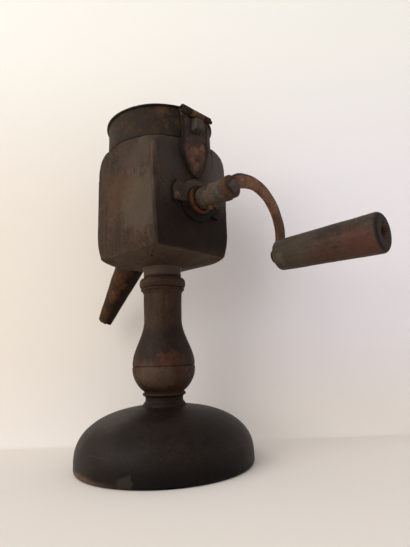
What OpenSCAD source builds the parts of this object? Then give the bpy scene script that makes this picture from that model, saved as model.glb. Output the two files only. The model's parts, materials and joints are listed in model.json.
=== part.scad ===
// Hand-cranked spice mill: a turned foot and stem carry a wooden block with the grinding works inside.
// Lengths are millimetres. Z is up and the origin is the middle of the foot's underside.
// The axle runs along X: the crank is on the +X side and the spout on the -X side.

/* [Foot] */
// Diameter of the turned foot
foot_d = 102; // [90:1:120]
// Height of the foot's dome at its middle
foot_h = 32; // [28:0.5:40]
// Height of the straight side under the dome
foot_side_h = 4.5; // [3:0.5:8]
// Radius of the foot's lower edge
foot_edge_r = 1.6; // [1:0.2:2.8]
// Fullness of the dome: 2 is an ellipse and more is squarer
dome_power = 2.4; // [2:0.1:3]

/* [Stem] */
// Length of the stem between foot and block
stem_l = 88; // [82:0.5:104]
// Diameter of the flare that stands on the foot
stem_seat_d = 26; // [24:0.5:30]
// Diameter of the lower neck
low_neck_d = 22.4; // [20:0.2:24]
// Diameter of the small ring over the lower neck
ring_d = 25.8; // [25:0.2:28]
// Height of the ring's middle over the stem's seat
ring_rise = 7; // [6:0.5:8]
// Diameter of the belly
belly_d = 37.4; // [30:0.2:44]
// Height of the belly's widest place over the stem's seat
belly_rise = 21.4; // [18:0.2:26]
// Diameter of the slim shaft
shaft_d = 23; // [20:0.2:24]
// Height over the seat at which the belly has run out into the shaft
shaft_rise = 50; // [46:0.5:54]
// Diameter of the bead under the block
bead_d = 28.4; // [26:0.2:32]
// Height of the bead
bead_h = 5.8; // [4:0.2:7]
// Distance of the bead's middle below the block
bead_drop = 16; // [13:0.5:18]
// Diameter of the neck under the block
top_neck_d = 23.4; // [20:0.2:24]
// Diameter of the tenons in foot and block
tenon_d = 16; // [12:0.5:18]
// Length of the tenon in the foot
foot_tenon_l = 22; // [14:0.5:24]
// Length of the tenon in the block
top_tenon_l = 13; // [8:0.5:14]
// Depth and half height of the scribed lines on the stem
scribe = 0.5; // [0.3:0.1:0.8]

/* [Block] */
// Width of the wooden block across its faces
block_w = 57.2; // [54:0.2:62]
// Width of the block at its lower edge
block_low_w = 53.6; // [50:0.2:53.8]
// Height over which the lower edge is drawn in
block_taper_h = 12; // [6:0.5:14]
// How far the underside is turned down round the stem
under_drop = 6.2; // [4:0.2:7]
// Height of the block up to the band
block_h = 65.6; // [62:0.2:74]
// Height of the turned shoulder at the corners
shoulder_h = 15; // [10:0.5:18]
// Height of the flare that carries the block's faces out to the band
flare_h = 12; // [8:0.5:14]
// Height of the turned spigot inside the band
spigot_h = 5; // [4:0.2:6]

/* [Hopper band and lid] */
// Outer diameter of the sheet-iron band
band_d = 66; // [63:0.2:70]
// Thickness of the band's sheet
band_t = 0.9; // [0.6:0.1:1.4]
// Height of the band
band_h = 18.8; // [18:0.2:28]
// Angle that the band's lapped seam covers
lap_angle = 18; // [12:1:24]
// Diameter of the lid
lid_d = 68.4; // [67:0.2:74]
// Thickness of the lid's sheet
lid_t = 1; // [0.8:0.1:1.6]
// Diameter of the funnel's rim in the block
funnel_d = 46; // [36:0.5:47]
// Diameter of the throat over the rotor
throat_d = 11; // [8:0.5:12]

/* [Hinge] */
// Sideways place of the hinge on the band
hinge_y = -1; // [-3:0.5:1]
// Width of the hinge plate
plate_w = 22; // [20:0.5:26]
// Thickness of the hinge plate
plate_t = 1.2; // [0.8:0.1:1.6]
// Length of the plate's bent tail below the band
tail_l = 22; // [18:0.5:24]
// How far the tail's tip leans in towards the wood
tail_in = 2; // [1:0.2:3]
// How far the tail's tip stands to the side
tail_skew = 2; // [0:0.5:3]
// Outer radius of the hinge knuckles
knuckle_r = 2.2; // [1.9:0.1:2.6]
// Radius of the hinge pin
hinge_pin_r = 1.1; // [0.8:0.1:1.3]
// Width of the lid's middle knuckle
lid_knuckle_w = 10; // [7:0.5:11]
// Width across the square bolt head
bolt_head_w = 7.6; // [6.5:0.1:8.5]
// Height of the square bolt head
bolt_head_h = 4.6; // [3:0.1:6]
// Radius of the bolt's shank
bolt_r = 2; // [1.5:0.1:2.3]

/* [Grinding works] */
// Height of the axle over the block's lower edge
axle_rise = 30.2; // [28:0.2:33]
// Sideways place of the axle in the block
axle_y = 3; // [0:0.5:4]
// Radius of the axle in the front bush
journal_r = 5.6; // [5:0.1:6]
// Radius of the axle's tail in the rear bridge
tail_r = 3; // [2.4:0.1:3.6]
// Radius of the bore for the grinding works
works_r = 11.5; // [10.5:0.1:12.5]
// Depth of that bore past the block's middle
works_back = 15.5; // [14:0.5:17]
// Depth of the discharge chamber behind that bore
chamber_depth = 6.5; // [5:0.5:8]
// Length of the fluted shell
shell_l = 24; // [20:0.5:26]
// Thickness of the rear bridge
bridge_t = 3; // [2:0.2:4]
// Radius of the rotor at its discharge end
rotor_big_r = 8.6; // [8:0.1:9]
// Radius of the rotor at its feed end
rotor_small_r = 6.8; // [6.4:0.1:7.4]
// Number of flutes on the rotor
rotor_flutes = 10; // [6:1:14]
// Number of flutes in the shell
shell_flutes = 12; // [8:1:16]
// Radius of the bearing disc on the crank face
disc_r = 13; // [12.6:0.2:15]
// Thickness of the bearing disc and its ears
disc_t = 2.4; // [1.6:0.1:3.2]
// Reach of the bearing disc's ears from the axle
ear_reach = 19.6; // [18:0.2:22]
// Radius of the bush's nose
nose_r = 8.6; // [8:0.1:9.4]
// Length of the bush's nose past the bearing disc
nose_l = 3; // [2:0.2:4]

/* [Crank] */
// Length of the collar between bush and arm
collar_l = 20; // [16:0.5:24]
// Radius of the collar
collar_r = 6.7; // [6.4:0.1:7.6]
// Side of the axle's square end
square_w = 7.4; // [6.4:0.1:7.8]
// Length of the square end that stands past the arm
stub_l = 3.5; // [2:0.5:8]
// Distance from axle to grip
crank_r = 52.5; // [46:0.5:66]
// Angle of the crank as it rests, from the horizontal
crank_angle = -38.5; // [-45:0.5:0]
// Height of the arm's bow over the straight line from axle to grip
arm_bow = 24; // [16:0.5:25]
// Width of the arm at the axle
arm_root_w = 7.6; // [6:0.2:10]
// Width of the arm at the grip
arm_end_w = 7.2; // [5:0.2:8]
// Thickness of the arm
arm_t = 3.2; // [2.6:0.2:5]
// Radius of the arm's eye on the axle
eye_r = 7; // [6.8:0.1:9]

/* [Grip] */
// Length of the wooden grip
grip_l = 62.5; // [52:0.5:72]
// Diameter of the grip at the arm
grip_in_d = 18.8; // [16:0.2:21]
// Diameter of the grip near its outer end
grip_out_d = 22; // [20:0.2:26]
// Radius of the round ends of the grip
grip_round = 3.4; // [2:0.2:4.5]
// Radius of the spindle
spindle_r = 2.6; // [2:0.1:3]
// Width of the square recess in the grip's outer end
recess_w = 9; // [8.6:0.2:11]
// Depth of that recess
recess_l = 6; // [4:0.5:9]

/* [Spout] */
// Angle of the spout from the upright
spout_tilt = 42; // [36:0.5:46]
// Length of the spout from the block's face, along its middle line
spout_l = 60.5; // [50:0.5:70]
// Outer diameter of the spout's open end
spout_end_d = 9.8; // [9:0.2:12]
// Outer diameter of the spout at the block's face
spout_top_d = 20.4; // [18:0.2:21]
// Thickness of the spout's sheet
spout_t = 0.7; // [0.5:0.1:1]
// Height over the block's lower edge where the spout's middle line meets the face
spout_rise = 12; // [11.5:0.2:13]
// Width of the flange that holds the spout
flange_w = 34; // [33:0.5:38]
// Height of the flange's top over the spout's middle line
flange_top = 23; // [21:0.5:25]
// Radius of the slanting discharge bore
discharge_r = 6; // [4.5:0.1:6.4]

/* [Fits] */
// Gap between glued or driven pieces
seat_gap = 0.05; // [0.02:0.01:0.1]
// Radial gap of a turning fit
run_gap = 0.06; // [0.02:0.01:0.1]
// Gap beside pieces that move past each other
side_gap = 0.4; // [0.3:0.05:0.6]

/* [Hidden] */
$fn = 72;

wood_dark = [0.20, 0.13, 0.09];
wood_black = [0.13, 0.10, 0.09];
wood_grip = [0.36, 0.22, 0.14];
iron = [0.28, 0.23, 0.20];
rust = [0.40, 0.25, 0.16];
steel = [0.42, 0.41, 0.40];

foot_r = foot_d / 2;
seat_depth = 0.8;
seat_z = foot_h - seat_depth;
block_z = seat_z + stem_l;
under_z = block_z - under_drop;
face = block_w / 2;
shoulder_z = block_z + block_h;
band_r = band_d / 2;
band_in_r = band_r - band_t;
spigot_r = band_in_r - seat_gap;
spigot_z = shoulder_z + spigot_h;
rim_z = shoulder_z + band_h;
lid_z = rim_z;
lid_r = lid_d / 2;
tenon_r = tenon_d / 2;
tenon_foot_z = seat_z - foot_tenon_l;

// How far a cut runs past the piece it cuts
over = 1;
// The same where two cuts meet
hair = 0.01;
nail_l = 9;
nail_r = 0.9;
band_nail_l = 5;

axle_z = block_z + axle_rise;
shell_r = works_r - seat_gap;
shell_x0 = bridge_t - works_back;
shell_x1 = shell_x0 + shell_l;
bush_x0 = shell_x1;
disc_x = face + disc_t;
nose_x = disc_x + nose_l;
collar_x = nose_x + side_gap;
arm_x = collar_x + collar_l;
arm_front_x = arm_x + arm_t;
stub_x = arm_front_x + stub_l;
ear_t = 0.75 * disc_t;
rotor_pin_r = 1.2;
rotor_seat_r = journal_r - 1;
collar_pin_r = 1.4;
collar_pin_in = 6.5;
chamber_step = 2.5;
chamber_r = works_r - chamber_step;
chamber_x = works_back + chamber_depth;
discharge_up = (face - chamber_x + chamber_depth / 2) / sin(spout_tilt);

hinge_x = band_r + knuckle_r + side_gap / 2;
hinge_z = rim_z - knuckle_r;
lid_leaf_half = lid_knuckle_w / 2;
pin_tip = 2;
knuckle_out = 1;
left_knuckle_y = -plate_w / 2 - knuckle_out;
right_knuckle_y = plate_w / 2;
bolt_z = spigot_z + bolt_head_w / 2 + side_gap;
bolt_x = band_r + plate_t;
tail_angle = atan(tail_in / tail_l);
nut_t = 2.6;
strap_t = 1.1;
strap_l = 20;
lid_rivet_r = 1.2;

grip_x = arm_front_x + side_gap;
grip_end_x = grip_x + grip_l;
grip_y = crank_r * cos(crank_angle);
grip_z = crank_r * sin(crank_angle);
recess_x = grip_end_x - recess_l;
washer_r = recess_w / 2 - side_gap;
washer_t = 1.4;
recess_turn = 25;

spout_z = block_z + spout_rise;
flange_t = 0.9;
flange_z = block_z + block_taper_h + seat_depth;

// A point pair moved in a soft S from a to b, as [radius, height] steps
function s_curve(a, b, n = 14) =
  [for (i = [0:n]) let (t = i / n)
    [a[0] + (b[0] - a[0]) * (1 - cos(180 * t)) / 2, a[1] + (b[1] - a[1]) * t]];

// An elliptic bulge that stands out from radius r, between the heights z0 and z1
function bulge(r, out, z0, z1, n = 10) =
  [for (i = [0:n]) let (a = 180 * i / n) [r + out * sin(a), (z0 + z1) / 2 - (z1 - z0) / 2 * cos(a)]];

// A scribed V line in a surface of radius r
function scribed(r, z) = [[r, z - scribe], [r - scribe, z], [r, z + scribe]];

// The quarter of a superellipse from [r, z] at its side to [0, z + h] at its top
function dome(r, z, h, p, n = 24) =
  [for (i = [0:n]) let (a = 90 * i / n) [r * pow(cos(a), 2 / p), z + h * pow(sin(a), 2 / p)]];

// Places its children on the axle's line at x, with their Z along +X
module on_axle(x) {
  translate([x, axle_y, axle_z]) rotate([0, 90, 0]) children();
}

// Places its children on the grip's line at x, with their Z along +X
module on_grip(x) {
  translate([x, axle_y + grip_y, axle_z + grip_z]) rotate([0, 90, 0]) children();
}

// A flat piece drawn in Y and Z, t thick from x towards +X
module sheet_yz(x, t) {
  translate([x, 0, 0]) rotate([90, 0, 90]) linear_extrude(t) children();
}

// A hand-made nail along -X with a low round head, its head's underside at the origin
module nail(l, r, gap = 0) {
  translate([-l, 0, 0]) rotate([0, 90, 0]) cylinder(h = l, r = r + gap);
  if (gap == 0)
    rotate([0, 90, 0]) rotate_extrude() polygon(concat([[0, 0]], dome(2.2 * r, 0, r, 2, 8)));
}

// The turned wooden foot with a blind socket for the stem's tenon
module foot() {
  edge = [for (i = [0:8]) let (a = -90 + 90 * i / 8)
    [foot_r - foot_edge_r + foot_edge_r * cos(a), foot_edge_r + foot_edge_r * sin(a)]];
  color(wood_black) difference() {
    rotate_extrude($fn = 144)
      polygon(concat([[0, 0]], edge, dome(foot_r, foot_side_h, foot_h - foot_side_h, dome_power)));
    translate([0, 0, seat_z]) cylinder(h = foot_h, r = stem_seat_d / 2 + seat_gap);
    translate([0, 0, tenon_foot_z - seat_gap]) cylinder(h = foot_h, r = tenon_r + seat_gap);
  }
}

// The turned baluster stem with a tenon at each end
module stem() {
  low_r = low_neck_d / 2;
  ring_z = seat_z + ring_rise;
  ring_half = 0.9;
  belly_z = seat_z + belly_rise;
  cove = 0.7;
  belly_r = belly_d / 2;
  belly_low_r = ring_d / 2 - cove;
  belly_low_h = belly_rise - ring_rise - 2 * ring_half;
  shaft_r = shaft_d / 2;
  bead_z = block_z - bead_drop;
  bead_low = bead_z - bead_h / 2;
  bead_high = bead_z + bead_h / 2;
  bead_out = 1.3;
  fillet_h = 1.6;
  fillet_out = fillet_h / 2;
  neck_flare = 1;
  neck_flare_h = 2;
  neck_r = top_neck_d / 2;
  belly_low = [for (i = [0:10]) let (a = 90 * i / 10)
    [belly_low_r + (belly_r - belly_low_r) * pow(sin(a), 1.7), belly_z - belly_low_h * cos(a)]];
  profile = concat(
    [[0, tenon_foot_z], [tenon_r, tenon_foot_z], [tenon_r, seat_z], [stem_seat_d / 2, seat_z]],
    s_curve([stem_seat_d / 2, seat_z + seat_depth], [low_r, seat_z + ring_rise / 2], 6),
    [[low_r, ring_z - 2 * ring_half]],
    bulge(low_r + cove, ring_d / 2 - low_r - cove, ring_z - ring_half, ring_z + ring_half, 8),
    belly_low,
    scribed(belly_r, belly_z + 3 * scribe),
    s_curve([belly_r, belly_z + 5 * scribe], [shaft_r, seat_z + shaft_rise]),
    [[shaft_r, bead_low - 2 * fillet_h]],
    bulge(bead_d / 2 - fillet_h, fillet_out, bead_low - fillet_h, bead_low, 6),
    bulge(bead_d / 2 - bead_out, bead_out, bead_low, bead_high),
    scribed(neck_r, bead_high + 2 * scribe),
    s_curve([neck_r, under_z - neck_flare_h], [neck_r + neck_flare, under_z], 6),
    [[tenon_r, under_z], [tenon_r, block_z + top_tenon_l], [0, block_z + top_tenon_l]]);
  color(wood_dark) rotate_extrude($fn = 96) polygon(profile);
}

// The outside of the block: a squared post, turned to a shoulder and a round spigot at the top, its faces
// flared out to the band, its underside turned down to the stem
module block_outside() {
  low = block_low_w / 2;
  side = [[-low, block_z], [low, block_z], [face, block_z + block_taper_h], [face, spigot_z],
          [-face, spigot_z], [-face, block_z + block_taper_h]];
  corner_r = face * sqrt(2) + over;
  under_lip = 2;
  under_power = 1.6;
  under_low_r = top_neck_d / 2 + under_lip;
  under_r = low - over;
  under = [for (i = [0:10]) let (t = i / 10)
    [under_low_r + (under_r - under_low_r) * t, block_z - under_drop * pow(1 - t, under_power)]];
  shoulder = [for (i = [0:12]) let (a = 90 * i / 12)
    [band_r + (corner_r - band_r) * cos(a), shoulder_z - shoulder_h + shoulder_h * sin(a)]];
  intersection() {
    translate([0, face, 0]) rotate([90, 0, 0]) linear_extrude(block_w) polygon(side);
    rotate([90, 0, 90]) translate([0, 0, -face]) linear_extrude(block_w) polygon(side);
    rotate_extrude($fn = 144)
      polygon(concat([[0, block_z], [corner_r, block_z]], shoulder,
                     [[spigot_r, shoulder_z], [spigot_r, spigot_z], [0, spigot_z]]));
  }
  translate([0, 0, shoulder_z - flare_h])
    cylinder(h = flare_h, r1 = face - over, r2 = band_r - seat_gap, $fn = 144);
  rotate_extrude($fn = 144)
    polygon(concat([[0, under_z]], under, [[under_r, block_z + over], [0, block_z + over]]));
}

// The slanting line of the spout: Z runs down and outwards from the block's face
module on_spout() {
  translate([-face, axle_y, spout_z]) rotate([0, 180 + spout_tilt, 0]) children();
}

// The wooden block with funnel, works bore, discharge bore and nail holes
module mill_block() {
  throat_l = works_r + 2;
  funnel_z = axle_z + throat_l;
  color(wood_dark) difference() {
    block_outside();
    translate([0, 0, under_z - over])
      cylinder(h = under_drop + top_tenon_l + over + seat_gap, r = tenon_r + seat_gap);
    on_axle(-works_back) cylinder(h = works_back + face + over, r = works_r);
    on_axle(-chamber_x) cylinder(h = chamber_x, r = chamber_r);
    translate([0, axle_y / 2, funnel_z])
      cylinder(h = spigot_z - funnel_z, r1 = throat_d / 2, r2 = funnel_d / 2);
    translate([0, axle_y / 2, spigot_z - hair]) cylinder(h = over, r = funnel_d / 2);
    translate([0, axle_y / 2, axle_z]) cylinder(h = throat_l + over, r = throat_d / 2);
    on_spout() translate([0, 0, -discharge_up]) cylinder(h = discharge_up + spout_top_d, r = discharge_r);
    bearing_nail_places() nail(nail_l, nail_r, seat_gap);
    tail_nail_place() nail(nail_l, nail_r, seat_gap);
    spout_nail_places() nail(nail_l, nail_r, seat_gap);
    band_nail_places() nail(band_nail_l, nail_r, seat_gap);
  }
}

// The sheet-iron band: a strip wrapped round the spigot, lapped at the back and notched at the lid's strap
module hopper_band() {
  color(iron) difference() {
    union() {
      translate([0, 0, shoulder_z]) cylinder(h = band_h, r = band_r, $fn = 144);
      intersection() {
        translate([0, 0, shoulder_z]) cylinder(h = band_h, r = band_r + band_t, $fn = 144);
        rotate(180 - lap_angle / 2) lap_sector();
      }
    }
    translate([0, 0, shoulder_z - over]) cylinder(h = band_h + 2 * over, r = band_in_r, $fn = 144);
    bolt_place() bolt_hole();
    band_rivet_places() rivet(band_r + band_t, seat_gap);
    band_nail_places() nail(band_nail_l, nail_r, seat_gap);
    translate([band_in_r / 2, hinge_y - lid_leaf_half - side_gap, rim_z - strap_t - side_gap])
      cube([band_r, 2 * (lid_leaf_half + side_gap), band_h]);
  }
}

// The wedge-shaped space of the band's lap, opened from angle 0
module lap_sector() {
  far = 2 * band_r;
  linear_extrude(2 * rim_z) polygon([[0, 0], [far, 0], [far * cos(lap_angle), far * sin(lap_angle)]]);
}

// A rivet through both layers of the lap, along X, with a low head on each side
module rivet(x, gap = 0) {
  shank_r = 1.1;
  head_r = 2.1;
  head_h = 1;
  shank_l = 2 * band_t + side_gap;
  translate([x - shank_l, 0, 0]) rotate([0, 90, 0]) cylinder(h = shank_l, r = shank_r + gap);
  if (gap == 0) {
    translate([x, 0, 0]) rotate([0, 90, 0])
      rotate_extrude() polygon(concat([[0, 0]], dome(head_r, 0, head_h, 2, 8)));
    translate([x - shank_l, 0, 0]) rotate([0, -90, 0])
      rotate_extrude() polygon(concat([[0, 0]], dome(0.9 * head_r, 0, 0.8 * head_h, 2, 8)));
  }
}

module band_rivet_places() {
  edge = 3.4;
  for (z = [spigot_z + edge, rim_z - edge])
    translate([0, 0, z]) rotate(180) children();
}

module band_rivets() {
  color(rust) band_rivet_places() rivet(band_r + band_t);
}

module band_nail_places() {
  for (a = [57, 135, 213])
    rotate(a) translate([band_r, 0, shoulder_z + spigot_h / 2]) children();
}

module band_nails() {
  color(rust) band_nail_places() nail(band_nail_l, nail_r);
}

// Where the hinge bolt goes through plate and band, with X outwards
module bolt_place() {
  translate([0, hinge_y, bolt_z]) children();
}

module bolt_hole() {
  rotate([0, 90, 0]) cylinder(h = 2 * band_r, r = bolt_r + seat_gap);
}

// The tail of the hinge plate starts here and leans in to the wood
module tail_place() {
  translate([band_r, hinge_y, shoulder_z]) rotate([0, tail_angle, 0]) children();
}

module tail_nail_place() {
  tip = 5;
  tail_place() translate([plate_t, tail_skew / 2, tip - tail_l]) children();
}

// A round knuckle along Y from y0 to y1
module knuckle(y0, y1) {
  translate([hinge_x, hinge_y + y0, hinge_z]) rotate([-90, 0, 0]) cylinder(h = y1 - y0, r = knuckle_r);
}

module pin_hole(gap) {
  translate([hinge_x, hinge_y - plate_w, hinge_z]) rotate([-90, 0, 0])
    cylinder(h = 2 * plate_w, r = hinge_pin_r + gap);
}

// The forged hinge plate: two knuckles, a flat plate on the band and a tail bent in to the wood
module hinge_plate() {
  half = plate_w / 2;
  gate = lid_leaf_half + side_gap;
  gate_z = hinge_z - knuckle_r - 2 * side_gap;
  tip_z = shoulder_z - tail_l;
  taper_z = shoulder_z - 0.3 * tail_l;
  function taper(t, side) =
    [side * half * cos(90 * t) + tail_skew * t * t, taper_z + (tip_z - taper_z) * sin(90 * t * t)];
  color(rust) difference() {
    union() {
      intersection() {
        sheet_yz(0, 2 * band_r) translate([hinge_y, 0]) polygon(concat(
          [[-half, hinge_z], [-half, taper_z]], [for (i = [1:6]) taper(i / 7, -1)], [[tail_skew, tip_z]],
          [for (i = [6:-1:1]) taper(i / 7, 1)], [[half, taper_z], [half, hinge_z],
          [gate, hinge_z], [gate, gate_z], [-gate, gate_z], [-gate, hinge_z]]));
        translate([0, hinge_y + plate_w, 0]) rotate([90, 0, 0]) linear_extrude(2 * plate_w)
          polygon([[band_r, hinge_z], [band_r, shoulder_z], [band_r - tail_in, tip_z],
                   [bolt_x - tail_in, tip_z], [bolt_x, shoulder_z], [bolt_x, hinge_z]]);
      }
      knuckle(left_knuckle_y, -gate);
      knuckle(gate, right_knuckle_y);
    }
    pin_hole(seat_gap);
    bolt_place() bolt_hole();
    tail_nail_place() nail(nail_l, nail_r, seat_gap);
  }
}

// The hinge pin, which stands out at one end and stops short at the other
module hinge_pin() {
  y0 = left_knuckle_y + hinge_pin_r;
  color(iron) translate([hinge_x, hinge_y + y0, hinge_z]) rotate([-90, 0, 0])
    cylinder(h = right_knuckle_y + pin_tip - y0, r = hinge_pin_r);
}

// The square-headed bolt through plate and band
module hinge_bolt() {
  half = bolt_head_w / 2;
  tall = half + 0.9;
  top = half - 1.2;
  side_slope = 1;
  thread_out = 2;
  color(steel) {
    intersection() {
      sheet_yz(bolt_x, bolt_head_h) translate([hinge_y, bolt_z])
        square([2 * half, 2 * tall], center = true);
      translate([bolt_x, hinge_y + half, bolt_z]) rotate([90, 0, 0]) linear_extrude(2 * half)
        polygon([[0, -tall], [bolt_head_h, side_slope - tall], [bolt_head_h, top],
                 [side_slope, tall], [0, tall]]);
    }
    translate([band_in_r - nut_t - thread_out, hinge_y, bolt_z]) rotate([0, 90, 0])
      cylinder(h = bolt_x - band_in_r + nut_t + thread_out, r = bolt_r);
  }
}

// The square nut on the bolt inside the band
module hinge_nut() {
  nut_w = bolt_head_w - side_gap;
  nut_reach = abs(hinge_y) + nut_w / 2;
  nut_x = sqrt(band_in_r * band_in_r - nut_reach * nut_reach) - nut_t;
  color(iron) difference() {
    translate([nut_x, hinge_y - nut_w / 2, bolt_z - nut_w / 2]) cube([nut_t, nut_w, nut_w]);
    bolt_place() bolt_hole();
  }
}

module hinge_nail() {
  color(rust) tail_nail_place() nail(nail_l, nail_r);
}

// The lid's flat sheet, cut straight beside the hinge
module lid() {
  cut_x = hinge_x - knuckle_r - side_gap;
  color(iron) difference() {
    translate([0, 0, lid_z]) cylinder(h = lid_t, r = lid_r, $fn = 144);
    translate([cut_x, -lid_r, lid_z - over]) cube([lid_r, 2 * lid_r, lid_t + 2 * over]);
    lid_rivet_places() cylinder(h = 4 * (lid_t + strap_t), r = lid_rivet_r + seat_gap, center = true);
  }
}

module lid_rivet_places() {
  for (share = [0.3, 0.7])
    translate([band_in_r - share * strap_l, hinge_y, lid_z]) children();
}

// The strap under the lid, led out through the band's notch and rolled into the middle knuckle
module lid_strap() {
  w = lid_knuckle_w;
  color(rust) difference() {
    union() {
      translate([band_in_r - strap_l, hinge_y - w / 2, lid_z - strap_t])
        cube([hinge_x - band_in_r + strap_l, w, strap_t]);
      knuckle(-w / 2, w / 2);
    }
    pin_hole(run_gap);
    lid_rivet_places() cylinder(h = 4 * (lid_t + strap_t), r = lid_rivet_r + seat_gap, center = true);
  }
}

// Two rivets that hold the strap to the lid, flush below and round on top
module lid_rivets() {
  head_h = 1;
  color(rust) lid_rivet_places() {
    translate([0, 0, -strap_t]) cylinder(h = lid_t + strap_t, r = lid_rivet_r);
    translate([0, 0, lid_t])
      rotate_extrude() polygon(concat([[0, 0]], dome(1.8 * lid_rivet_r, 0, head_h, 2, 8)));
  }
}

// The iron bearing plate on the crank face: a disc with a fan-shaped ear on each side
module bearing_plate() {
  ear = ear_reach * [[0.4, 0.43], [0.86, 0.48], [1, 0.15],
                     [0.96, -0.17], [0.8, -0.26], [0.4, -0.31]];
  color(iron) difference() {
    union() {
      on_axle(face) cylinder(h = disc_t, r = disc_r);
      for (side = [-1, 1])
        sheet_yz(face, ear_t) translate([axle_y, axle_z]) scale([1, side == 1 ? -1 : 1])
          polygon([for (p = ear) [side * p[0], p[1]]]);
    }
    on_axle(face - over) cylinder(h = disc_t + 2 * over, r = nose_r + seat_gap);
    bearing_nail_places() nail(nail_l, nail_r, seat_gap);
  }
}

module bearing_nail_places() {
  for (side = [-1, 1])
    translate([face + ear_t, axle_y, axle_z] + side * ear_reach * [0, 0.82, 0.03]) children();
}

module bearing_nails() {
  color(rust) bearing_nail_places() nail(nail_l, nail_r);
}

// The stepped iron bush: its body fills the works bore and its nose comes out through the disc
module front_bush() {
  color(rust) difference() {
    union() {
      on_axle(bush_x0) cylinder(h = face - bush_x0, r = works_r - seat_gap);
      on_axle(bush_x0) cylinder(h = nose_x - bush_x0, r = nose_r);
    }
    on_axle(bush_x0 - over) cylinder(h = nose_x - bush_x0 + 2 * over, r = journal_r + run_gap);
  }
}

// The fixed fluted shell round the rotor, with a window under the throat
module grinding_shell() {
  mouth = 1.6;
  near = 0.4;
  flute_r = 0.7;
  color(iron) difference() {
    on_axle(shell_x0) cylinder(h = shell_l, r = shell_r);
    on_axle(shell_x0 - hair)
      cylinder(h = shell_l + 2 * hair, r1 = rotor_big_r + near, r2 = rotor_small_r + mouth);
    for (i = [0:shell_flutes - 1])
      on_axle(shell_x0 - over) rotate(360 * i / shell_flutes) translate([rotor_big_r + near, 0, 0])
        cylinder(h = shell_l + 2 * over, r = flute_r, $fn = 16);
    translate([0, axle_y / 2, axle_z]) cylinder(h = works_r + over, r = throat_d / 2);
  }
}

// The bar across the rear of the shell that carries the axle's tail
module rear_bridge() {
  bar_w = 4 * tail_r;
  color(iron) intersection() {
    on_axle(-works_back) cylinder(h = bridge_t, r = shell_r);
    difference() {
      translate([-works_back, axle_y - works_r, axle_z - bar_w / 2]) cube([bridge_t, 2 * works_r, bar_w]);
      on_axle(-works_back - over) cylinder(h = bridge_t + 2 * over, r = tail_r + run_gap);
    }
  }
}

// The forged axle: tail, round seat for the rotor, front journal and square end
module axle() {
  tail_out = 1.5;
  color(iron) difference() {
    union() {
      on_axle(-works_back - tail_out) cylinder(h = works_back, r = tail_r);
      on_axle(shell_x0 + side_gap) cylinder(h = shell_l, r = rotor_seat_r);
      on_axle(bush_x0) cylinder(h = collar_x - bush_x0, r = journal_r);
      on_axle(collar_x) crank_turn() translate([0, 0, (stub_x - collar_x) / 2])
        cube([square_w, square_w, stub_x - collar_x], center = true);
    }
    rotor_pin_place() cylinder(h = 4 * works_r, r = rotor_pin_r + seat_gap, center = true);
    collar_pin_place() cylinder(h = 4 * collar_r, r = collar_pin_r + seat_gap, center = true);
  }
}

// Turns its children with the crank, about the axle's own line
module crank_turn() {
  rotate(-crank_angle) children();
}

module rotor_pin_place() {
  on_axle(shell_x0 + 0.62 * shell_l) rotate([90, 0, 0]) children();
}

module collar_pin_place() {
  on_axle(collar_x + collar_pin_in) rotate([0, 90, 0]) children();
}

// The tapered fluted rotor that grinds against the shell
module rotor() {
  x0 = shell_x0 + side_gap;
  l = shell_l - 2 * side_gap;
  lean = atan((rotor_big_r - rotor_small_r) / l);
  flute_r = 1;
  flute_out = 0.3;
  color(steel) difference() {
    on_axle(x0) cylinder(h = l, r1 = rotor_big_r, r2 = rotor_small_r);
    on_axle(x0 - over) cylinder(h = l + 2 * over, r = rotor_seat_r + seat_gap);
    for (i = [0:rotor_flutes - 1])
      on_axle(x0) rotate(360 * i / rotor_flutes) translate([rotor_big_r + flute_out, 0, -over])
        rotate([0, -lean, 0]) cylinder(h = l + 3 * over, r = flute_r, $fn = 16);
    rotor_pin_place() cylinder(h = 4 * works_r, r = rotor_pin_r + seat_gap, center = true);
  }
}

// The pin that locks the rotor to the axle, just short of the rotor's skin
module rotor_pin() {
  short = 1;
  color(iron) rotor_pin_place() cylinder(h = 2 * rotor_small_r - short, r = rotor_pin_r, center = true);
}

// The round collar on the axle's square end, between bush and arm
module crank_collar() {
  color(steel) difference() {
    on_axle(collar_x) cylinder(h = collar_l, r = collar_r);
    square_hole(collar_x - over, collar_l + 2 * over);
    collar_pin_place() cylinder(h = 4 * collar_r, r = collar_pin_r + seat_gap, center = true);
  }
}

module square_hole(x, l) {
  on_axle(x) crank_turn() translate([0, 0, l / 2])
    cube([square_w + 2 * seat_gap, square_w + 2 * seat_gap, l], center = true);
}

// The cross pin through collar and axle, its ends just proud of the collar
module collar_pin() {
  above = 0.8;
  below = 1.2;
  color(rust) collar_pin_place() translate([0, 0, -collar_r - above])
    cylinder(h = 2 * collar_r + above + below, r = collar_pin_r);
}

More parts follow.
